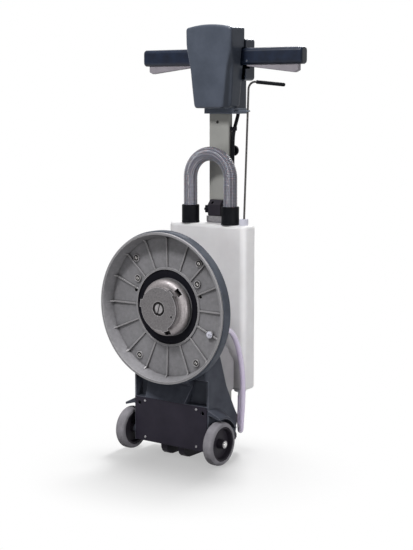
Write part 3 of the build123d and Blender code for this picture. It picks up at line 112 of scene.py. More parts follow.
def stain(tree, shader, under, measure, clear, full, colour, most=1.0):
    """Lays a colour over a tone, from none where a measure is at clear to the most where it is at full."""
    share = put(tree, "MapRange", {"Value": measure, "From Min": clear, "From Max": full, "To Max": most})
    mix = put(tree, "Mix", {0: share.outputs["Result"], 6: under, 7: srgb(colour)}, data_type="RGBA")
    tree.links.new(mix.outputs[2], shader.inputs["Base Color"])
    return mix.outputs[2]


def tone(tree, shader, place, dark, light, cloud_mm, low=0.35, high=0.65, wear_and_highlight=None, wear_and_highlight_mm=2.0,
         painted_shade=None, painted_shade_mm=12.0):
    """Clouds of two close tones, as dye and cooling leave in a moulded or cast skin.

    Edges can be lightened, as wear and as a painted highlight, and corners darkened with painted shade.
    """
    clouds = put(tree, "TexNoise", {"Vector": place, "Scale": per_mm(cloud_mm), "Detail": 5.0,
                                    "Roughness": 0.6})
    span = put(tree, "MapRange", {"Value": clouds.outputs["Fac"], "From Min": low, "From Max": high})
    mix = put(tree, "Mix", {0: span.outputs["Result"], 6: srgb(dark), 7: srgb(light)}, data_type="RGBA")
    shown = mix.outputs[2]
    tree.links.new(shown, shader.inputs["Base Color"])
    # Painted shade: darker where other surfaces come close, as in corners and recesses
    if painted_shade:
        corner = put(tree, "AmbientOcclusion", {"Distance": painted_shade_mm * MM}, samples=8).outputs["AO"]
        shown = stain(tree, shader, shown, corner, clear=0.85, full=0.1, colour=painted_shade)
    # Lighter edges: part wear, part painted highlight
    if wear_and_highlight:
        edge = put(tree, "AmbientOcclusion", {"Distance": wear_and_highlight_mm * MM}, samples=8, inside=True,
                   only_local=True).outputs["AO"]
        shown = stain(tree, shader, shown, edge, clear=0.97, full=0.6, colour=wear_and_highlight, most=0.9)
    return shown


def gloss(tree, shader, place, low, high, patch_mm):
    """Handled skins shine unevenly: patches of slightly different roughness."""
    patches = put(tree, "TexNoise", {"Vector": place, "Scale": per_mm(patch_mm), "Detail": 3.0})
    span = put(tree, "MapRange", {"Value": patches.outputs["Fac"], "From Min": 0.3, "From Max": 0.7,
                                  "To Min": low, "To Max": high})
    tree.links.new(span.outputs["Result"], shader.inputs["Roughness"])


def relief(tree, shader, height, depth_mm, edge_mm=0.0, strength=1.0):
    """A bump from a height pattern, over edges that are slightly rounded."""
    inputs = {"Height": height, "Distance": depth_mm * MM, "Strength": strength}
    if edge_mm:
        inputs["Normal"] = put(tree, "Bevel", {"Radius": edge_mm * MM}, samples=6).outputs["Normal"]
    bump = put(tree, "Bump", inputs)
    tree.links.new(bump.outputs["Normal"], shader.inputs["Normal"])


def nearest(tree, place, centres):
    """How far a point is from the nearest of some axes that run front to back, and the way there."""
    flat = put(tree, "VectorMath", {0: place, 1: (1, 0, 1)}, operation="MULTIPLY").outputs["Vector"]
    # Starts further off than any place on the machine is from an axis
    near, reach = (1, 0, 1), 1.0
    for x, z in centres:
        offset = put(tree, "VectorMath", {0: flat, 1: (x, 0, z)}, operation="SUBTRACT").outputs["Vector"]
        apart = put(tree, "VectorMath", {0: offset}, operation="LENGTH").outputs["Value"]
        closer = put(tree, "Math", {0: apart, 1: reach}, operation="LESS_THAN").outputs["Value"]
        near = put(tree, "Mix", {0: closer, 4: near, 5: offset}, data_type="VECTOR").outputs[1]
        reach = put(tree, "Math", {0: apart, 1: reach}, operation="MINIMUM").outputs["Value"]
    return reach, near


def moulded(name, dark, light, low, high, grain_mm, depth_mm, edge_mm, shine=0.2, wear_and_highlight=None):
    """ABS moulded in a spark-eroded tool: an even fine grain, soft edges and a dull sheen."""
    material, tree, shader, place = start(name, {"IOR": 1.5, "Specular IOR Level": shine})
    # Where an edge colour is given, edges are lightened as wear and as painted highlight
    tone(tree, shader, place, dark, light, cloud_mm=70, wear_and_highlight=wear_and_highlight)
    gloss(tree, shader, place, low, high, patch_mm=45)
    grain = put(tree, "TexNoise", {"Vector": place, "Scale": per_mm(grain_mm), "Detail": 2.0,
                                   "Roughness": 0.5})
    relief(tree, shader, grain.outputs["Fac"], depth_mm, edge_mm)
    return material


def cast_alloy(name, dark, light, wear_and_highlight, painted_shade, bores, bore_mm):
    """Die-cast aluminium, tumbled and left bare: satin and mottled, its ribs lightened as wear and painted
    highlight, with painted shade in its corners.

    Painted shade makes its small bores black.
    """
    material, tree, shader, place = start(name, {"Metallic": 0.25, "Specular IOR Level": 0.3})
    bare = tone(tree, shader, place, dark, light, cloud_mm=9, low=0.3, high=0.7, wear_and_highlight=wear_and_highlight, wear_and_highlight_mm=2.2,
                painted_shade=painted_shade)
    # Painted shade: black in the locating holes' bores
    reach, _ = nearest(tree, place, bores)
    stain(tree, shader, bare, reach, clear=(bore_mm + BORE_BLUR) * MM, full=bore_mm * MM, colour="#0B0B0D")
    gloss(tree, shader, place, low=0.42, high=0.56, patch_mm=20)
    skin = put(tree, "TexNoise", {"Vector": place, "Scale": per_mm(1.6), "Detail": 3.0, "Roughness": 0.6})
    relief(tree, shader, skin.outputs["Fac"], depth_mm=0.1, edge_mm=0.7)
    return material


def turned_steel(name, centre_z, dark, light, low=0.38, high=0.55, painted_shade_mm=12.0):
    """Steel faced on a lathe: rings round its axis, drawn coarser than real so that they show."""
    material, tree, shader, place = start(name, {"Metallic": 0.6})
    centred = put(tree, "Mapping", {"Vector": place, "Location": (0, -DATUM_Y, -centre_z)})
    rings = put(tree, "TexWave", {"Vector": centred.outputs["Vector"],
                                  "Scale": per_mm(RING_RADIAN) / WAVE_RADIANS,
                                  "Distortion": 0.6, "Detail": 2.0, "Detail Scale": 2.0},
                wave_type="RINGS", rings_direction="Y")
    # Lighter edges are wear and painted highlight; painted shade darkens corners and hollows
    tone(tree, shader, place, dark, light, cloud_mm=4, wear_and_highlight="#B4B1B3", wear_and_highlight_mm=1.5, painted_shade="#0E0D0E",
         painted_shade_mm=painted_shade_mm)
    gloss(tree, shader, place, low, high, patch_mm=14)
    relief(tree, shader, rings.outputs["Fac"], depth_mm=0.01, edge_mm=0.5, strength=0.7)
    return material


def slotted_steel(name, dark, light, shade, centres, face_mm, slot_mm, turn):
    """Turned screws in deep seats: bare faces, with painted shade black in the slot and where the seat
    shades the rim.
    """
    material, tree, shader, place = start(name, {"Metallic": 0.5})
    reach, near = nearest(tree, place, centres)
    side = (-sin(radians(turn)), 0, cos(radians(turn)))
    across = put(tree, "VectorMath", {0: near, 1: side}, operation="DOT_PRODUCT").outputs["Value"]
    inward = put(tree, "Math", {0: across}, operation="ABSOLUTE").outputs["Value"]
    face = tone(tree, shader, place, dark, light, cloud_mm=4)
    # Painted shade: black beyond the face, where the seat shades the rim, and in the slot
    rimmed = stain(tree, shader, face, reach, clear=face_mm * MM, full=(face_mm + RIM_BLUR) * MM,
                   colour=shade)
    stain(tree, shader, rimmed, inward, clear=(slot_mm / 2 + SLOT_BLUR) * MM, full=slot_mm / 2 * MM,
          colour=shade)
    gloss(tree, shader, place, low=0.38, high=0.55, patch_mm=9)
    grit = put(tree, "TexNoise", {"Vector": place, "Scale": per_mm(1.5), "Detail": 2.0})
    relief(tree, shader, grit.outputs["Fac"], depth_mm=0.03, edge_mm=0.4)
    return material


def plated_steel(name, dark, light, low, high):
    """Zinc-plated steel: bright, with a faint cloudy haze from handling."""
    material, tree, shader, place = start(name, {"Metallic": 1.0})
    tone(tree, shader, place, dark, light, cloud_mm=6)
    gloss(tree, shader, place, low, high, patch_mm=5)
    dings = put(tree, "TexNoise", {"Vector": place, "Scale": per_mm(2.5), "Detail": 2.0})
    relief(tree, shader, dings.outputs["Fac"], depth_mm=0.02, edge_mm=0.3)
    return material


def lacquered_tube(name, dark, light, hole, hole_mm):
    """Drawn aluminium under a thin grey lacquer: satin, with faint draw lines along its length.

    Painted shade makes the hole in its front wall black, as the hollow behind it is, and darkens it where
    other parts come close.
    """
    material, tree, shader, place = start(name, {"Metallic": 0.35})
    drawn = put(tree, "Mapping", {"Vector": place, "Scale": (1.0, 1.0, 0.012)})
    lines = put(tree, "TexNoise", {"Vector": drawn.outputs["Vector"], "Scale": per_mm(2.2), "Detail": 3.0})
    lacquer = tone(tree, shader, place, dark, light, cloud_mm=120, painted_shade="#0C0C0B", painted_shade_mm=5.0)
    # Painted shade: black over the hole in the front wall
    reach = put(tree, "VectorMath", {0: place, 1: hole}, operation="DISTANCE").outputs["Value"]
    stain(tree, shader, lacquer, reach, clear=(hole_mm + HOLE_BLUR) * MM, full=hole_mm * MM,
          colour="#0B0B0B")
    gloss(tree, shader, place, low=0.38, high=0.5, patch_mm=60)
    relief(tree, shader, lines.outputs["Fac"], depth_mm=0.04, edge_mm=0.8)
    return material


def powder_coat(name, dark, light):
    """Powder-coated steel: near black with the small ripples of orange peel."""
    material, tree, shader, place = start(name, {"IOR": 1.5, "Specular IOR Level": 0.15})
    tone(tree, shader, place, dark, light, cloud_mm=90)
    gloss(tree, shader, place, low=0.4, high=0.52, patch_mm=50)
    peel = put(tree, "TexNoise", {"Vector": place, "Scale": per_mm(2.0), "Detail": 1.0})
    relief(tree, shader, peel.outputs["Fac"], depth_mm=0.06, edge_mm=0.6)
    return material


def rubber(name, dark, light, low, high, edge_mm=0.8, shine=0.15, painted_shade=None):
    """Moulded rubber: dull, with a slight bloom and a fine pebble skin."""
    material, tree, shader, place = start(name, {"IOR": 1.48, "Specular IOR Level": shine})
    # Where given, painted shade darkens its corners and where other parts come close
    tone(tree, shader, place, dark, light, cloud_mm=24, painted_shade=painted_shade, painted_shade_mm=6.0)
    gloss(tree, shader, place, low, high, patch_mm=18)
    pebble = put(tree, "TexNoise", {"Vector": place, "Scale": per_mm(0.8), "Detail": 2.0})
    relief(tree, shader, pebble.outputs["Fac"], depth_mm=0.04, edge_mm=edge_mm)
    return material


def grip_vinyl(name, dark, light):
    """Dipped vinyl over steel: blue-black and half gloss, with faint rubs and edges lightened as a painted
    highlight.
    """
    material, tree, shader, place = start(name, {
        "IOR": 1.52, "Specular IOR Level": 0.2, "Coat Weight": 0.2, "Coat Roughness": 0.32})
    tone(tree, shader, place, dark, light, cloud_mm=30, wear_and_highlight="#3A475C", wear_and_highlight_mm=3.0)
    rubs = put(tree, "Mapping", {"Vector": place, "Scale": (0.15, 1.0, 1.0)})
    gloss(tree, shader, rubs.outputs["Vector"], low=0.37, high=0.42, patch_mm=40)
    skin = put(tree, "TexNoise", {"Vector": place, "Scale": per_mm(20), "Detail": 0.0})
    relief(tree, shader, skin.outputs["Fac"], depth_mm=0.03, edge_mm=1.0)
    return material


def natural_polyethylene(name, dark, light):
    """Blow-moulded natural polyethylene: milky white that lets some light in, slightly wavy walls."""
    material, tree, shader, place = start(name, {
        "IOR": 1.5, "Subsurface Weight": 0.35, "Subsurface Scale": 0.012,
        "Subsurface Radius": (1.0, 0.95, 0.9)})
    tone(tree, shader, place, dark, light, cloud_mm=90)
    gloss(tree, shader, place, low=0.34, high=0.46, patch_mm=70)
    waves = put(tree, "TexNoise", {"Vector": place, "Scale": per_mm(60), "Detail": 2.0})
    relief(tree, shader, waves.outputs["Fac"], depth_mm=1.2, edge_mm=1.0, strength=0.5)
    return material


def clear_vinyl(name, dark, light):
    """Clear PVC tube with the lavender cast that thick clear PVC has, shiny and half see-through."""
    material, tree, shader, place = start(name, {
        "IOR": 1.53, "Transmission Weight": 0.2, "Roughness": 0.16,
        "Coat Weight": 0.3, "Coat Roughness": 0.1})
    tone(tree, shader, place, dark, light, cloud_mm=30)
    waves = put(tree, "TexNoise", {"Vector": place, "Scale": per_mm(14), "Detail": 1.0})
    relief(tree, shader, waves.outputs["Fac"], depth_mm=0.15)
    return material


def ribbed_vinyl(name, valley, rib, highlight_streak):
    """Smoky PVC suction hose: soft wall between harder ribs, darker in the valleys and paler on the
    crests, with painted highlight streaks along it.
    """
    material, tree, shader, place = start(name, {
        "IOR": 1.52, "Roughness": 0.4, "Specular IOR Level": 0.3, "Coat Weight": 0.25,
        "Coat Roughness": 0.2, "Subsurface Weight": 0.15, "Subsurface Scale": 0.004})
    crest = put(tree, "Attribute", attribute_name="crest").outputs["Fac"]
    wall = put(tree, "Mix", {0: crest, 6: srgb(valley), 7: srgb(rib)}, data_type="RGBA").outputs[2]
    around = put(tree, "Attribute", attribute_name="around").outputs["Vector"]
    lines = put(tree, "TexNoise", {"Vector": around, "Scale": HIGHLIGHT_STREAK_SCALE, "Detail": 3.0,
                                   "Roughness": 0.7})
    # Painted highlight: pale streaks along the hose
    stain(tree, shader, wall, lines.outputs["Fac"], clear=0.5, full=0.66, colour=highlight_streak, most=0.75)
    skin = put(tree, "TexNoise", {"Vector": place, "Scale": per_mm(3), "Detail": 2.0})
    relief(tree, shader, skin.outputs["Fac"], depth_mm=0.05)
    return material


# Each lighter edge colour below is wear and painted highlight, and each dark corner colour is painted
# shade
casting = cast_alloy("die_cast_aluminium", "#7B7A7D", "#89888B", wear_and_highlight="#A6A4A5", painted_shade="#1E1D1F",
                     bores=LOCATING_HOLES, bore_mm=4.7)
hub_steel = turned_steel("turned_steel", DECK_Z, "#615F60", "#7A7779")
screw_steel = slotted_steel("slotted_steel", "#8A8789", "#A19EA0", "#100F10",
                            centres=[(0, DECK_Z)], face_mm=12.4, slot_mm=3.0, turn=75)
deck_screw_steel = slotted_steel("deck_screw_steel", "#B8B5B3", "#D0CDCB", "#0C0B0B",
                                 centres=DECK_SCREWS, face_mm=3.8, slot_mm=2.0, turn=60)
# A wider reach of painted shade darkens the barrel's neck beside the plate
barrel_steel = turned_steel("turned_barrel_steel", DECK_Z, "#908B8C", "#A6A0A1", low=0.46, high=0.58,
                            painted_shade_mm=24.0)
motor_steel = turned_steel("turned_motor_steel", MOTOR_Z, "#7E7C7E", "#989698")
zinc = plated_steel("zinc_plate", "#C9C8C8", "#DDDCDB", low=0.16, high=0.32)
dull_zinc = plated_steel("dull_zinc", "#8E8C90", "#A5A3A6", low=0.3, high=0.45)
rod_zinc = plated_steel("dark_zinc_rod", "#3A3839", "#4A4848", low=0.35, high=0.5)
bumper = rubber("slate_bumper_rubber", "#3E424A", "#494D56", low=0.45, high=0.6, painted_shade="#08090B")
tyre_rubber = rubber("grey_tyre_rubber", "#716F74", "#817F84", low=0.55, high=0.7, edge_mm=1.2)
cuff_rubber = rubber("black_cuff_rubber", "#090A0E", "#101115", low=0.45, high=0.58, shine=0.07)
black_abs = moulded("black_abs", "#0D0D13", "#14141A", low=0.42, high=0.55,
                    grain_mm=1.0, depth_mm=0.04, edge_mm=0.6, shine=0.06)
hub_abs = moulded("wheel_black_abs", "#1D1A21", "#27242B", low=0.42, high=0.55,
                  grain_mm=1.0, depth_mm=0.04, edge_mm=0.6, shine=0.15)
charcoal_abs = moulded("charcoal_abs", "#30333C", "#40434C", low=0.46, high=0.6,
                       grain_mm=1.4, depth_mm=0.1, edge_mm=1.0, shine=0.14, wear_and_highlight="#5A5C65")
head_abs = moulded("slate_abs", "#424853", "#4D535F", low=0.3, high=0.42,
                   grain_mm=1.2, depth_mm=0.04, edge_mm=2.5, wear_and_highlight="#747B88")
# The rear cover's darker slate is painted shade: the head's slate darkened for its shaded side
shaded_rear_abs = moulded("shaded_slate_abs", "#2E3340", "#383E4C", low=0.3, high=0.42,
                   grain_mm=1.2, depth_mm=0.04, edge_mm=2.0, wear_and_highlight="#565D6B")
cover_abs = moulded("light_grey_abs", "#8C8A8D", "#9A989B", low=0.42, high=0.54,
                    grain_mm=1.2, depth_mm=0.05, edge_mm=1.0)
lever_abs = moulded("lever_grey_abs", "#736F75", "#827E84", low=0.4, high=0.5,
                    grain_mm=1.0, depth_mm=0.04, edge_mm=1.0)
pale_abs = moulded("pale_acetal", "#B9B9C4", "#CACAD4", low=0.3, high=0.4,
                   grain_mm=1.0, depth_mm=0.02, edge_mm=0.6)
plate_paint = powder_coat("black_powder_coat", "#1E1B25", "#27242E")
grip_skin = grip_vinyl("blue_black_vinyl", "#0B1323", "#152034")
column_lacquer = lacquered_tube("grey_lacquer", "#949491", "#A0A09C", COLUMN_HOLE, hole_mm=4.0)
tank_skin = natural_polyethylene("natural_polyethylene", "#CFCDCF", "#D7D6D7")
hose_vinyl = ribbed_vinyl("smoky_ribbed_vinyl", valley="#37363F", rib="#605F68", highlight_streak="#A7A6B0")
feed_vinyl = clear_vinyl("clear_vinyl_tube", "#DACDE9", "#E5DBF1")

finishes = {
    casting: ["deck_casting", "bearing_carrier", "drive_pulley", "motor_pulley"],
    hub_steel: ["drive_shaft"],
    screw_steel: ["drive_screw"],
    motor_steel: ["motor_rotor"],
    zinc: ["axle", "hub_bearings"],
    deck_screw_steel: ["deck_screws"],
    dull_zinc: ["plate_screws", "axle_clips", "pivot_pin", "clamp_bar", "handlebar", "lever_pins",
                "motor_plate"],
    rod_zinc: ["water_rod"],
    bumper: ["bumper_ring"],
    tyre_rubber: ["left_tyre", "right_tyre"],
    cuff_rubber: ["hose_cuffs", "rod_grip", "drive_belt"],
    black_abs: ["splash_ring", "clamp_knob", "switch_block", "cable_clips", "cable_cleat", "cable_gland",
                "safety_button"],
    hub_abs: ["left_wheel_hub", "right_wheel_hub", "tank_clamp"],
    charcoal_abs: ["chassis"],
    head_abs: ["head_collar", "rod_guide"],
    shaded_rear_abs: ["head_rear_cover"],
    cover_abs: ["deck_cover", "motor_cover"],
    lever_abs: ["left_lever", "right_lever"],
    pale_abs: ["valve_cap", "water_nozzle", "outlet_fitting"],
    plate_paint: ["access_plate", "stand_feet", "column_knuckle", "tank_shelf", "motor_stator"],
    grip_skin: ["left_grip", "right_grip"],
    column_lacquer: ["column"],
    tank_skin: ["water_tank"],
}
for material, names in finishes.items():
    for name in names:
        skin = nodes[name].data.materials
        skin.clear()
        skin.append(material)

# Pieces

MERGE = 0.01 * MM


def piece(name, mesh, material, body, node):
    """A finished mesh as a piece that stands for a CAD node.

    It moves with a body. The feed tube, which bends between two, is given none here.
    """
    mesh.name = name
    mesh.materials.clear()
    mesh.materials.append(material)
    made = bpy.data.objects.new(name, mesh)
    bpy.context.collection.objects.link(made)
    if body:
        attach(made, body)
    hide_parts(node)
    return made


def merged_copy(node):
    """A bmesh of a CAD node, with the seams between its triangles closed."""
    shape = bmesh.new()
    shape.from_mesh(nodes[node].data)
    bmesh.ops.remove_doubles(shape, verts=shape.verts, dist=MERGE)
    return shape


def as_mesh(name, shape):
    """A bmesh as a mesh."""
    mesh = bpy.data.meshes.new(name)
    shape.to_mesh(mesh)
    shape.free()
    return mesh


def as_object(name, shape):
    """A bmesh as a linked object."""
    made = bpy.data.objects.new(name, as_mesh(name, shape))
    bpy.context.collection.objects.link(made)
    return made


def mesh_of(made):
    """The mesh that an object shows once its modifiers or its bevel are worked out."""
    graph = bpy.context.evaluated_depsgraph_get()
    return bpy.data.meshes.new_from_object(made.evaluated_get(graph))


def worked(blank, *tools):
    """The mesh that is made of a blank, with the blank and its tools cleared away."""
    mesh = mesh_of(blank)
    for used in (blank, *tools):
        bpy.data.objects.remove(used)
    return mesh


def combine(blank, tool, operation):
    """Joins a tool's shape to a blank, or cuts it out."""
    step = blank.modifiers.new(tool.name, "BOOLEAN")
    step.operation = operation
    step.object = tool


def line_through(points):
    """A smooth open curve with these control points, as a linked object."""
    curve = bpy.data.curves.new("route", "CURVE")
    curve.dimensions = "3D"
    curve.resolution_u = 8
    spline = curve.splines.new("NURBS")
    spline.points.add(len(points) - 1)
    for control, point in zip(spline.points, points):
        control.co = (*point, 1.0)
    spline.order_u = 3
    spline.use_endpoint_u = True
    route = bpy.data.objects.new("route", curve)
    bpy.context.collection.objects.link(route)
    return route


def tube(points, radius):
    """A round tube along a smooth line, and the points of that line."""
    route = line_through(points)
    path = [vert.co.copy() for vert in mesh_of(route).vertices]
    route.data.bevel_depth = radius
    route.data.bevel_resolution = 6
    route.data.use_fill_caps = True
    mesh = worked(route)
    mesh.shade_smooth()
    return mesh, path


FEED_R = 7.5 * MM
feed_route = [spot(*p) for p in [
    (142.28, 12.1, 356.57), (142.28, 32, 356.57), (137.97, 57, 353.57), (134.73, 80, 337.57),
    (131.5, 101, 311.57), (130, 117, 277.57), (130.5, 127, 240), (131, 131, 200), (131.5, 131, 160),
    (131.5, 128.5, 124), (131, 125.5, 101), (130.8, 124.2, 74), (119.5, 138.4, 56), (103.5, 158.6, 56),
    (92.2, 172.8, 74), (91.5, 175, 98), (92, 176, 122), (92, 176, 146),
]]
feed_mesh, feed_path = tube(feed_route, FEED_R)
feed_tube = piece("feed_tube", feed_mesh, feed_vinyl, None, "feed_hose")
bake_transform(feed_tube)

LEAD_R = 5 * MM
lead_route = [spot(*p) for p in [
    (43, 236, 950), (42.5, 234, 925), (41.6, 226, 905), (40.8, 217, 884), (40, 212, 862),
    (40, 211, 830.8), (40, 210.5, 778.8), (40, 210.9, 729.4), (40, 210.5, 680),
    (40, 210.8, 641), (40, 210.5, 602), (37.7, 210.5, 582), (27.7, 210.5, 567),
]]
lead_mesh, _ = tube(lead_route, LEAD_R)
piece("motor_lead_sheath", lead_mesh, cuff_rubber, "handle", "motor_lead")

# The arched hose: rings drawn along two straight limbs and a half circle, pinched between the ribs
HOSE_X, HOSE_Y = 67.5, 160.0
HOSE_LOW, HOSE_SPRING = 652.0, 749.0
HOSE_LIMB, HOSE_ARCH = HOSE_SPRING - HOSE_LOW, pi * HOSE_X
HOSE_R, HOSE_VALLEY = 19.3, 18.4
HOSE_PLAIN = 20.0
HOSE_SIDES = 40
RIB_PITCH, RIB_LEAD = 4.0, 1.0
RIB_SECTION = [(0.06, 0.0), (0.22, 0.75), (0.5, 1.0), (0.78, 0.75), (0.94, 0.0)]


def hose_place(s):
    """Where the hose is and which way it runs, a distance in millimetres from its left end."""
    if s < HOSE_LIMB:
        return Matrix.Translation(spot(-HOSE_X, HOSE_Y, HOSE_LOW + s))
    if s > HOSE_LIMB + HOSE_ARCH:
        low = HOSE_SPRING - (s - HOSE_LIMB - HOSE_ARCH)
        return Matrix.Translation(spot(HOSE_X, HOSE_Y, low)) @ Matrix.Rotation(pi, 4, "Y")
    turn = (s - HOSE_LIMB) / HOSE_X
    place = spot(-HOSE_X * cos(turn), HOSE_Y, HOSE_SPRING + HOSE_X * sin(turn))
    return Matrix.Translation(place) @ Matrix.Rotation(turn, 4, "Y")


def hose_steps():
    """Distances along the hose, each with its radius there and its share of a rib's height."""
    length = 2 * HOSE_LIMB + HOSE_ARCH
    count = int((length - 2 * HOSE_PLAIN) / RIB_PITCH)
    first = (length - count * RIB_PITCH) / 2
    steps = [(0.0, HOSE_R, 1.0), (first - RIB_LEAD, HOSE_R, 1.0)]
    for rib in range(count):
        for share, high in RIB_SECTION:
            s = first + rib * RIB_PITCH + share * RIB_PITCH
            steps.append((s, HOSE_VALLEY + (HOSE_R - HOSE_VALLEY) * high, high))
    return steps + [(length - first + RIB_LEAD, HOSE_R, 1.0), (length, HOSE_R, 1.0)]


def ribbed_hose():
    """Draws one ring of edges along the hose, wider on each rib."""
    shape = bmesh.new()
    crest = shape.verts.layers.float.new("crest")
    around = shape.verts.layers.float_vector.new("around")
    ring = bmesh.ops.create_circle(shape, segments=HOSE_SIDES, radius=1.0)["verts"]
    for vert in ring:
        vert[around] = vert.co
    before = Matrix.Identity(4)
    last = set()
    for s, radius, high in hose_steps():
        if last:
            edges = [e for e in shape.edges if e.verts[0] in last and e.verts[1] in last]
            made = bmesh.ops.extrude_edge_only(shape, edges=edges)["geom"]
            ring = [g for g in made if isinstance(g, bmesh.types.BMVert)]
        here = hose_place(s) @ Matrix.Diagonal((radius * MM, radius * MM, radius * MM, 1.0))
        bmesh.ops.transform(shape, matrix=here @ before.inverted(), verts=ring)
        before = here
        last = set(ring)
        for vert in ring:
            vert[crest] = high
    bmesh.ops.recalc_face_normals(shape, faces=shape.faces)
    mesh = as_mesh("arched_hose", shape)
    mesh.shade_smooth()
    return mesh


piece("arched_hose", ribbed_hose(), hose_vinyl, "handle", "u_hose")

# The drive barrel: a turned shoulder behind the drive plate, with a pocket ahead of each of its lugs
AXIS_Z = DECK_Z / MM
BARREL_FRONT, BARREL_NECK, BARREL_FOOT, BARREL_BACK = -66.5, -57.0, -44.0, -37.0
BARREL_NECK_R, BARREL_BROW_R, BARREL_R = 55.0, 58.0, 76.5
NECK_CHAMFER = 1.5
SHAFT_R, BOSS_R, BOSS_BACK = 15.05, 24.0, -31.0
LUG_ANGLES = [47, 167, 287]
LUG_W, LUG_ROOT_R, LUG_R, LUG_BACK = 20.0, 49.5, 61.5, -56.0
POCKET_LEAD = 5
POCKET_W, POCKET_R, POCKET_FRONT, POCKET_BACK = 21.0, 73.0, -67.5, -39.0
BROW_STEPS, BARREL_SIDES = 10, 120
SHARP_ANGLE = 30


def blocks(angles, wide, low, high, front, back):
    """A block at each angle round the drive axis, between two radii and two depths."""
    shape = bmesh.new()
    middle = spot(0, (front + back) / 2, AXIS_Z)
    out = Matrix.Translation(((low + high) / 2 * MM, 0, 0))
    size = Matrix.Diagonal(((high - low) * MM, (back - front) * MM, wide * MM, 1))
    for angle in angles:
        place = Matrix.Translation(middle) @ Matrix.Rotation(-radians(angle), 4, "Y")
        bmesh.ops.create_cube(shape, size=1, matrix=place @ out @ size)
    return shape


def turned_barrel():
    """Spins the barrel's section round the drive axis."""
    section = [(BARREL_FRONT, SHAFT_R), (BARREL_FRONT, BARREL_NECK_R),
               (BARREL_NECK - NECK_CHAMFER, BARREL_NECK_R)]
    for step in range(BROW_STEPS + 1):
        turn = step / BROW_STEPS * pi / 2
        section.append((BARREL_FOOT + (BARREL_NECK - BARREL_FOOT) * cos(turn),
                        BARREL_BROW_R + (BARREL_R - BARREL_BROW_R) * sin(turn)))
    section += [(BARREL_BACK, BARREL_R), (BARREL_BACK, BOSS_R), (BOSS_BACK, BOSS_R), (BOSS_BACK, SHAFT_R)]
    turned = bmesh.new()
    corners = [turned.verts.new(spot(0, y, AXIS_Z + radius)) for y, radius in section]
    sides = [turned.edges.new(pair) for pair in zip(corners, corners[1:] + corners[:1])]
    bmesh.ops.spin(turned, geom=corners + sides, cent=spot(0, 0, AXIS_Z), axis=(0, 1, 0), angle=2 * pi,
                   steps=BARREL_SIDES, use_merge=True)
    bmesh.ops.remove_doubles(turned, verts=turned.verts, dist=MERGE)
    bmesh.ops.recalc_face_normals(turned, faces=turned.faces)
    return turned


def drive_barrel():
    """The turned barrel with its lugs joined on and the pockets milled out of its shoulder."""
    blank = as_object("barrel_blank", turned_barrel())
    lug_shape = blocks(LUG_ANGLES, LUG_W, LUG_ROOT_R, LUG_R, BARREL_FRONT, LUG_BACK)
    lugs = as_object("barrel_lugs", lug_shape)
    combine(blank, lugs, "UNION")
    leading = [angle - POCKET_LEAD for angle in LUG_ANGLES]
    pocket_shape = blocks(leading, POCKET_W, LUG_R, POCKET_R, POCKET_FRONT, POCKET_BACK)
    pockets = as_object("barrel_pockets", pocket_shape)
    combine(blank, pockets, "DIFFERENCE")
    mesh = worked(blank, lugs, pockets)
    mesh.shade_smooth()
    mesh.set_sharp_from_angle(angle=radians(SHARP_ANGLE))
    return mesh


piece("drive_barrel", drive_barrel(), barrel_steel, "drive", "drive_hub")

# The drive plate, with the small hole that its pin leaves
PLATE_FRONT = -74.6
PIN_X, PIN_Z, PIN_R, PIN_DEEP = 41.8, 397.4, 3.6, 6.0
PIN_SIDES = 24


def bored_plate():
    """A copy of the drive plate with a blind hole bored into its face."""
    blank = as_object("plate_blank", merged_copy("drive_plate"))
    drill = bmesh.new()
    place = Matrix.Translation(spot(PIN_X, PLATE_FRONT, PIN_Z)) @ Matrix.Rotation(pi / 2, 4, "X")
    bmesh.ops.create_cone(drill, cap_ends=True, segments=PIN_SIDES, radius1=PIN_R * MM, radius2=PIN_R * MM,
                          depth=2 * PIN_DEEP * MM, matrix=place)
    bore = as_object("plate_bore", drill)
    combine(blank, bore, "DIFFERENCE")
    mesh = worked(blank, bore)
    mesh.shade_flat()
    return mesh


piece("bored_drive_plate", bored_plate(), hub_steel, "drive", "drive_plate")

# The head's front cover: its front edges rounded, and its wall set back beside the lower part of its panel
COVER_VOXEL = 2.0
COVER_ROUND_Y = 197.0
COVER_ROUNDS, COVER_EASE = 9, 0.5
PANEL_HALVES = [(947.0, 48.0), (1043.0, 58.0), (1095.0, 69.0)]
PANEL_TOP, PANEL_RISE = 1100.0, 50.0
CHEEK_STEP, CHEEK_W, CHEEK_FADE = 10.0, 7.0, 40.0


def eased(share):
    """A share, held between 0 and 1, that starts and ends gently."""
    share = min(max(share, 0.0), 1.0)
    return share * share * (3 - 2 * share)


def panel_half(z):
    """Half the width of the cover's raised panel at a height, in millimetres."""
    (low, narrow), (middle, waist), (high, wide) = PANEL_HALVES
    if z < middle:
        return narrow + (waist - narrow) * (z - low) / (middle - low)
    return waist + (wide - waist) * (z - middle) / (high - middle)


def cheek_setback(point):
    """How far back the cover's wall moves at a point, in metres: most beside the panel's lower part."""
    x, y, z = point.x / MM, (point.y - DATUM_Y) / MM, point.z / MM
    beside = eased((abs(x) - panel_half(z)) / CHEEK_W)
    below = eased((PANEL_TOP - z) / PANEL_RISE)
    before = eased((COVER_ROUND_Y - y) / CHEEK_FADE)
    return CHEEK_STEP * MM * beside * below * before


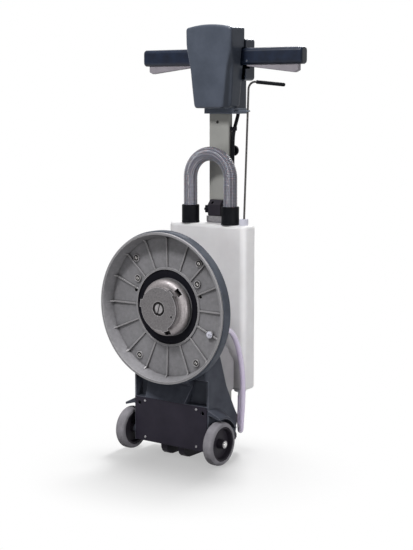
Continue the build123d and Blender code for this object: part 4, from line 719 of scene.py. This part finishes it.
def rounded_cover():
    """A closed skin over the cover's shell, smoothed and set back where nothing else fits into it."""
    blank = as_object("cover_blank", merged_copy("head_front_cover"))
    skin = blank.modifiers.new("skin", "REMESH")
    skin.mode = "VOXEL"
    skin.voxel_size = COVER_VOXEL * MM
    mesh = worked(blank)
    soft = bmesh.new()
    soft.from_mesh(mesh)
    fore = [vert for vert in soft.verts if vert.co.y < spot(0, COVER_ROUND_Y, 0).y]
    for _ in range(COVER_ROUNDS):
        bmesh.ops.smooth_vert(soft, verts=fore, factor=COVER_EASE, use_axis_x=True, use_axis_y=True,
                              use_axis_z=True)
    for vert in soft.verts:
        vert.co.y += cheek_setback(vert.co)
    soft.to_mesh(mesh)
    soft.free()
    mesh.shade_smooth()
    return mesh


head_cover = piece("head_cover_moulding", rounded_cover(), head_abs, "handle",
                   "head_front_cover")

# Stage, in metres

FLOOR_REACH = 12
# The floor's own white glow is least near the wheels, where the shadow falls, and full further out
GLOW_CENTRE = (0.1, -0.15, 0)
GLOW_NEAR, GLOW_FAR, GLOW_LEAST = 0.12, 0.48, 0.42
SKY_LIGHT, SKY_FRONT = 0.22, 0.3


def looked_at(tree):
    """1 for a ray that sees or mirrors the surroundings, 0 for one that only carries soft light."""
    rays = put(tree, "LightPath").outputs
    sharp = put(tree, "Math", {0: rays["Is Glossy Ray"], 1: rays["Is Transmission Ray"]}, operation="ADD")
    seen = put(tree, "Math", {0: rays["Is Camera Ray"], 1: sharp.outputs["Value"]}, operation="ADD",
               use_clamp=True)
    return seen.outputs["Value"]


def pale_floor():
    """A white sweep: it takes the machine's shadow near by and fades to plain white further out."""
    material, tree, shader, place = start("white_sweep", {"Roughness": 0.7, "Specular IOR Level": 0.0})
    seen = looked_at(tree)
    mix = put(tree, "Mix", {0: seen, 6: srgb("#A5A5A5"), 7: srgb("#F6F6F6")}, data_type="RGBA")
    tree.links.new(mix.outputs[2], shader.inputs["Base Color"])
    reach = put(tree, "VectorMath", {0: place, 1: GLOW_CENTRE}, operation="DISTANCE").outputs["Value"]
    far = put(tree, "MapRange", {"Value": reach, "From Min": GLOW_NEAR, "From Max": GLOW_FAR,
                                 "To Min": GLOW_LEAST}, interpolation_type="SMOOTHSTEP")
    share = put(tree, "Math", {0: far.outputs["Result"], 1: seen}, operation="MULTIPLY").outputs["Value"]
    glow = put(tree, "Emission", {"Color": (1, 1, 1, 1), "Strength": 1.0})
    both = put(tree, "MixShader", {0: share, 1: shader.outputs["BSDF"], 2: glow.outputs["Emission"]})
    tree.links.new(both.outputs["Shader"], tree.nodes["Material Output"].inputs["Surface"])
    return material


ground = bmesh.new()
bmesh.ops.create_grid(ground, x_segments=1, y_segments=1, size=FLOOR_REACH)
floor = as_object("floor", ground)
floor.data.materials.append(pale_floor())


def soft_light(name, place, aim, size, power, flagged=(), only=()):
    """A square softbox aimed at a point, with flags that keep it off some things or narrow it to some."""
    lamp = bpy.data.lights.new(name, "AREA")
    lamp.shape = "SQUARE"
    lamp.size = size
    lamp.energy = power
    box = bpy.data.objects.new(name, lamp)
    box.location = place
    box.rotation_euler = (Vector(aim) - Vector(place)).to_track_quat("-Z", "Y").to_euler()
    bpy.context.collection.objects.link(box)
    if flagged or only:
        flags = bpy.data.collections.new(name + "_flags")
        for thing in [*flagged, *only]:
            flags.objects.link(thing)
        for thing in flags.collection_objects:
            thing.light_linking.link_state = "EXCLUDE" if flagged else "INCLUDE"
        box.light_linking.receiver_collection = flags


tank, dish = nodes["water_tank"], nodes["deck_casting"]
rear_cover, collar = nodes["head_rear_cover"], nodes["head_collar"]
head = [head_cover, rear_cover, nodes["left_grip"], nodes["right_grip"], nodes["column"]]
soft_light("key_box", (-0.48, -2.02, 2.73), (0, -0.13, 0.45), size=0.5, power=84,
           flagged=[floor, tank, dish])
soft_light("dish_box", (-0.15, -1.75, 2.9), (0, -0.13, 0.45), size=0.5, power=79, only=[dish])
soft_light("fill_box", (2.2, -1.9, 1.3), (0, 0, 0.5), size=1.2, power=4,
           flagged=[floor, tank, dish, *head])
soft_light("tank_box", (0.9, -2.0, 2.9), (0, 0.05, 0.45), size=0.8, power=86, only=[tank])
soft_light("right_box", (2.45, -0.75, 0.6), (0, 0, 0.35), size=0.9, power=28, flagged=[floor, *head])
soft_light("left_box", (-2.6, 0.4, 1.5), (0, 0, 0.6), size=1.6, power=8, flagged=[floor])
soft_light("front_box", (0.4, -2.6, 0.3), (0, 0, 0.3), size=1.4, power=14, flagged=[floor, dish, *head])
soft_light("rim_box", (0.0, -0.62, 2.6), (0, -0.13, 0.4), size=0.5, power=30, only=[dish])
soft_light("side_box", (2.6, -0.8, 1.5), (0, 0, 0.95), size=0.5, power=7,
           only=[head_cover, rear_cover, collar])
soft_light("back_box", (-0.6, 2.0, 2.4), (0, 0, 0.1), size=0.8, power=65)
soft_light("top_box", (-0.2, 0.3, 3.2), (0, 0, 0.2), size=0.8, power=40)

# A white surround that lights softly; what mirrors it sees a dimmer front, as a studio's dark side gives
world = bpy.data.worlds.new("studio")
world.use_nodes = True
bpy.context.scene.world = world
sky = world.node_tree
heading = put(sky, "TexCoord").outputs["Generated"]
ahead = put(sky, "SeparateXYZ", {0: heading}).outputs["Y"]
behind = put(sky, "MapRange", {"Value": ahead, "From Min": -0.2, "From Max": 0.5, "To Min": SKY_FRONT,
                               "To Max": 1.0})
mirrored = put(sky, "LightPath").outputs["Is Glossy Ray"]
shown = put(sky, "Mix", {0: mirrored, 2: 1.0, 3: behind.outputs["Result"]}).outputs[0]
level = put(sky, "Mix", {0: looked_at(sky), 2: SKY_LIGHT, 3: shown})
back = sky.nodes["Background"]
back.inputs["Color"].default_value = (1, 1, 1, 1)
sky.links.new(level.outputs[0], back.inputs["Strength"])

# Camera, as the photograph was taken
EYE_DOWN, EYE_ROUND = 7.976, 35.921
camera = bpy.data.cameras.new("camera")
camera.lens = 82.68
camera.sensor_width = 36
eye = bpy.data.objects.new("camera", camera)
eye.location = spot(2036.3, -2668.5, 968.0)
eye.rotation_euler = (radians(90 - EYE_DOWN), 0, radians(EYE_ROUND))
bpy.context.collection.objects.link(eye)
bpy.context.scene.camera = eye
bpy.context.scene.view_settings.view_transform = "Standard"
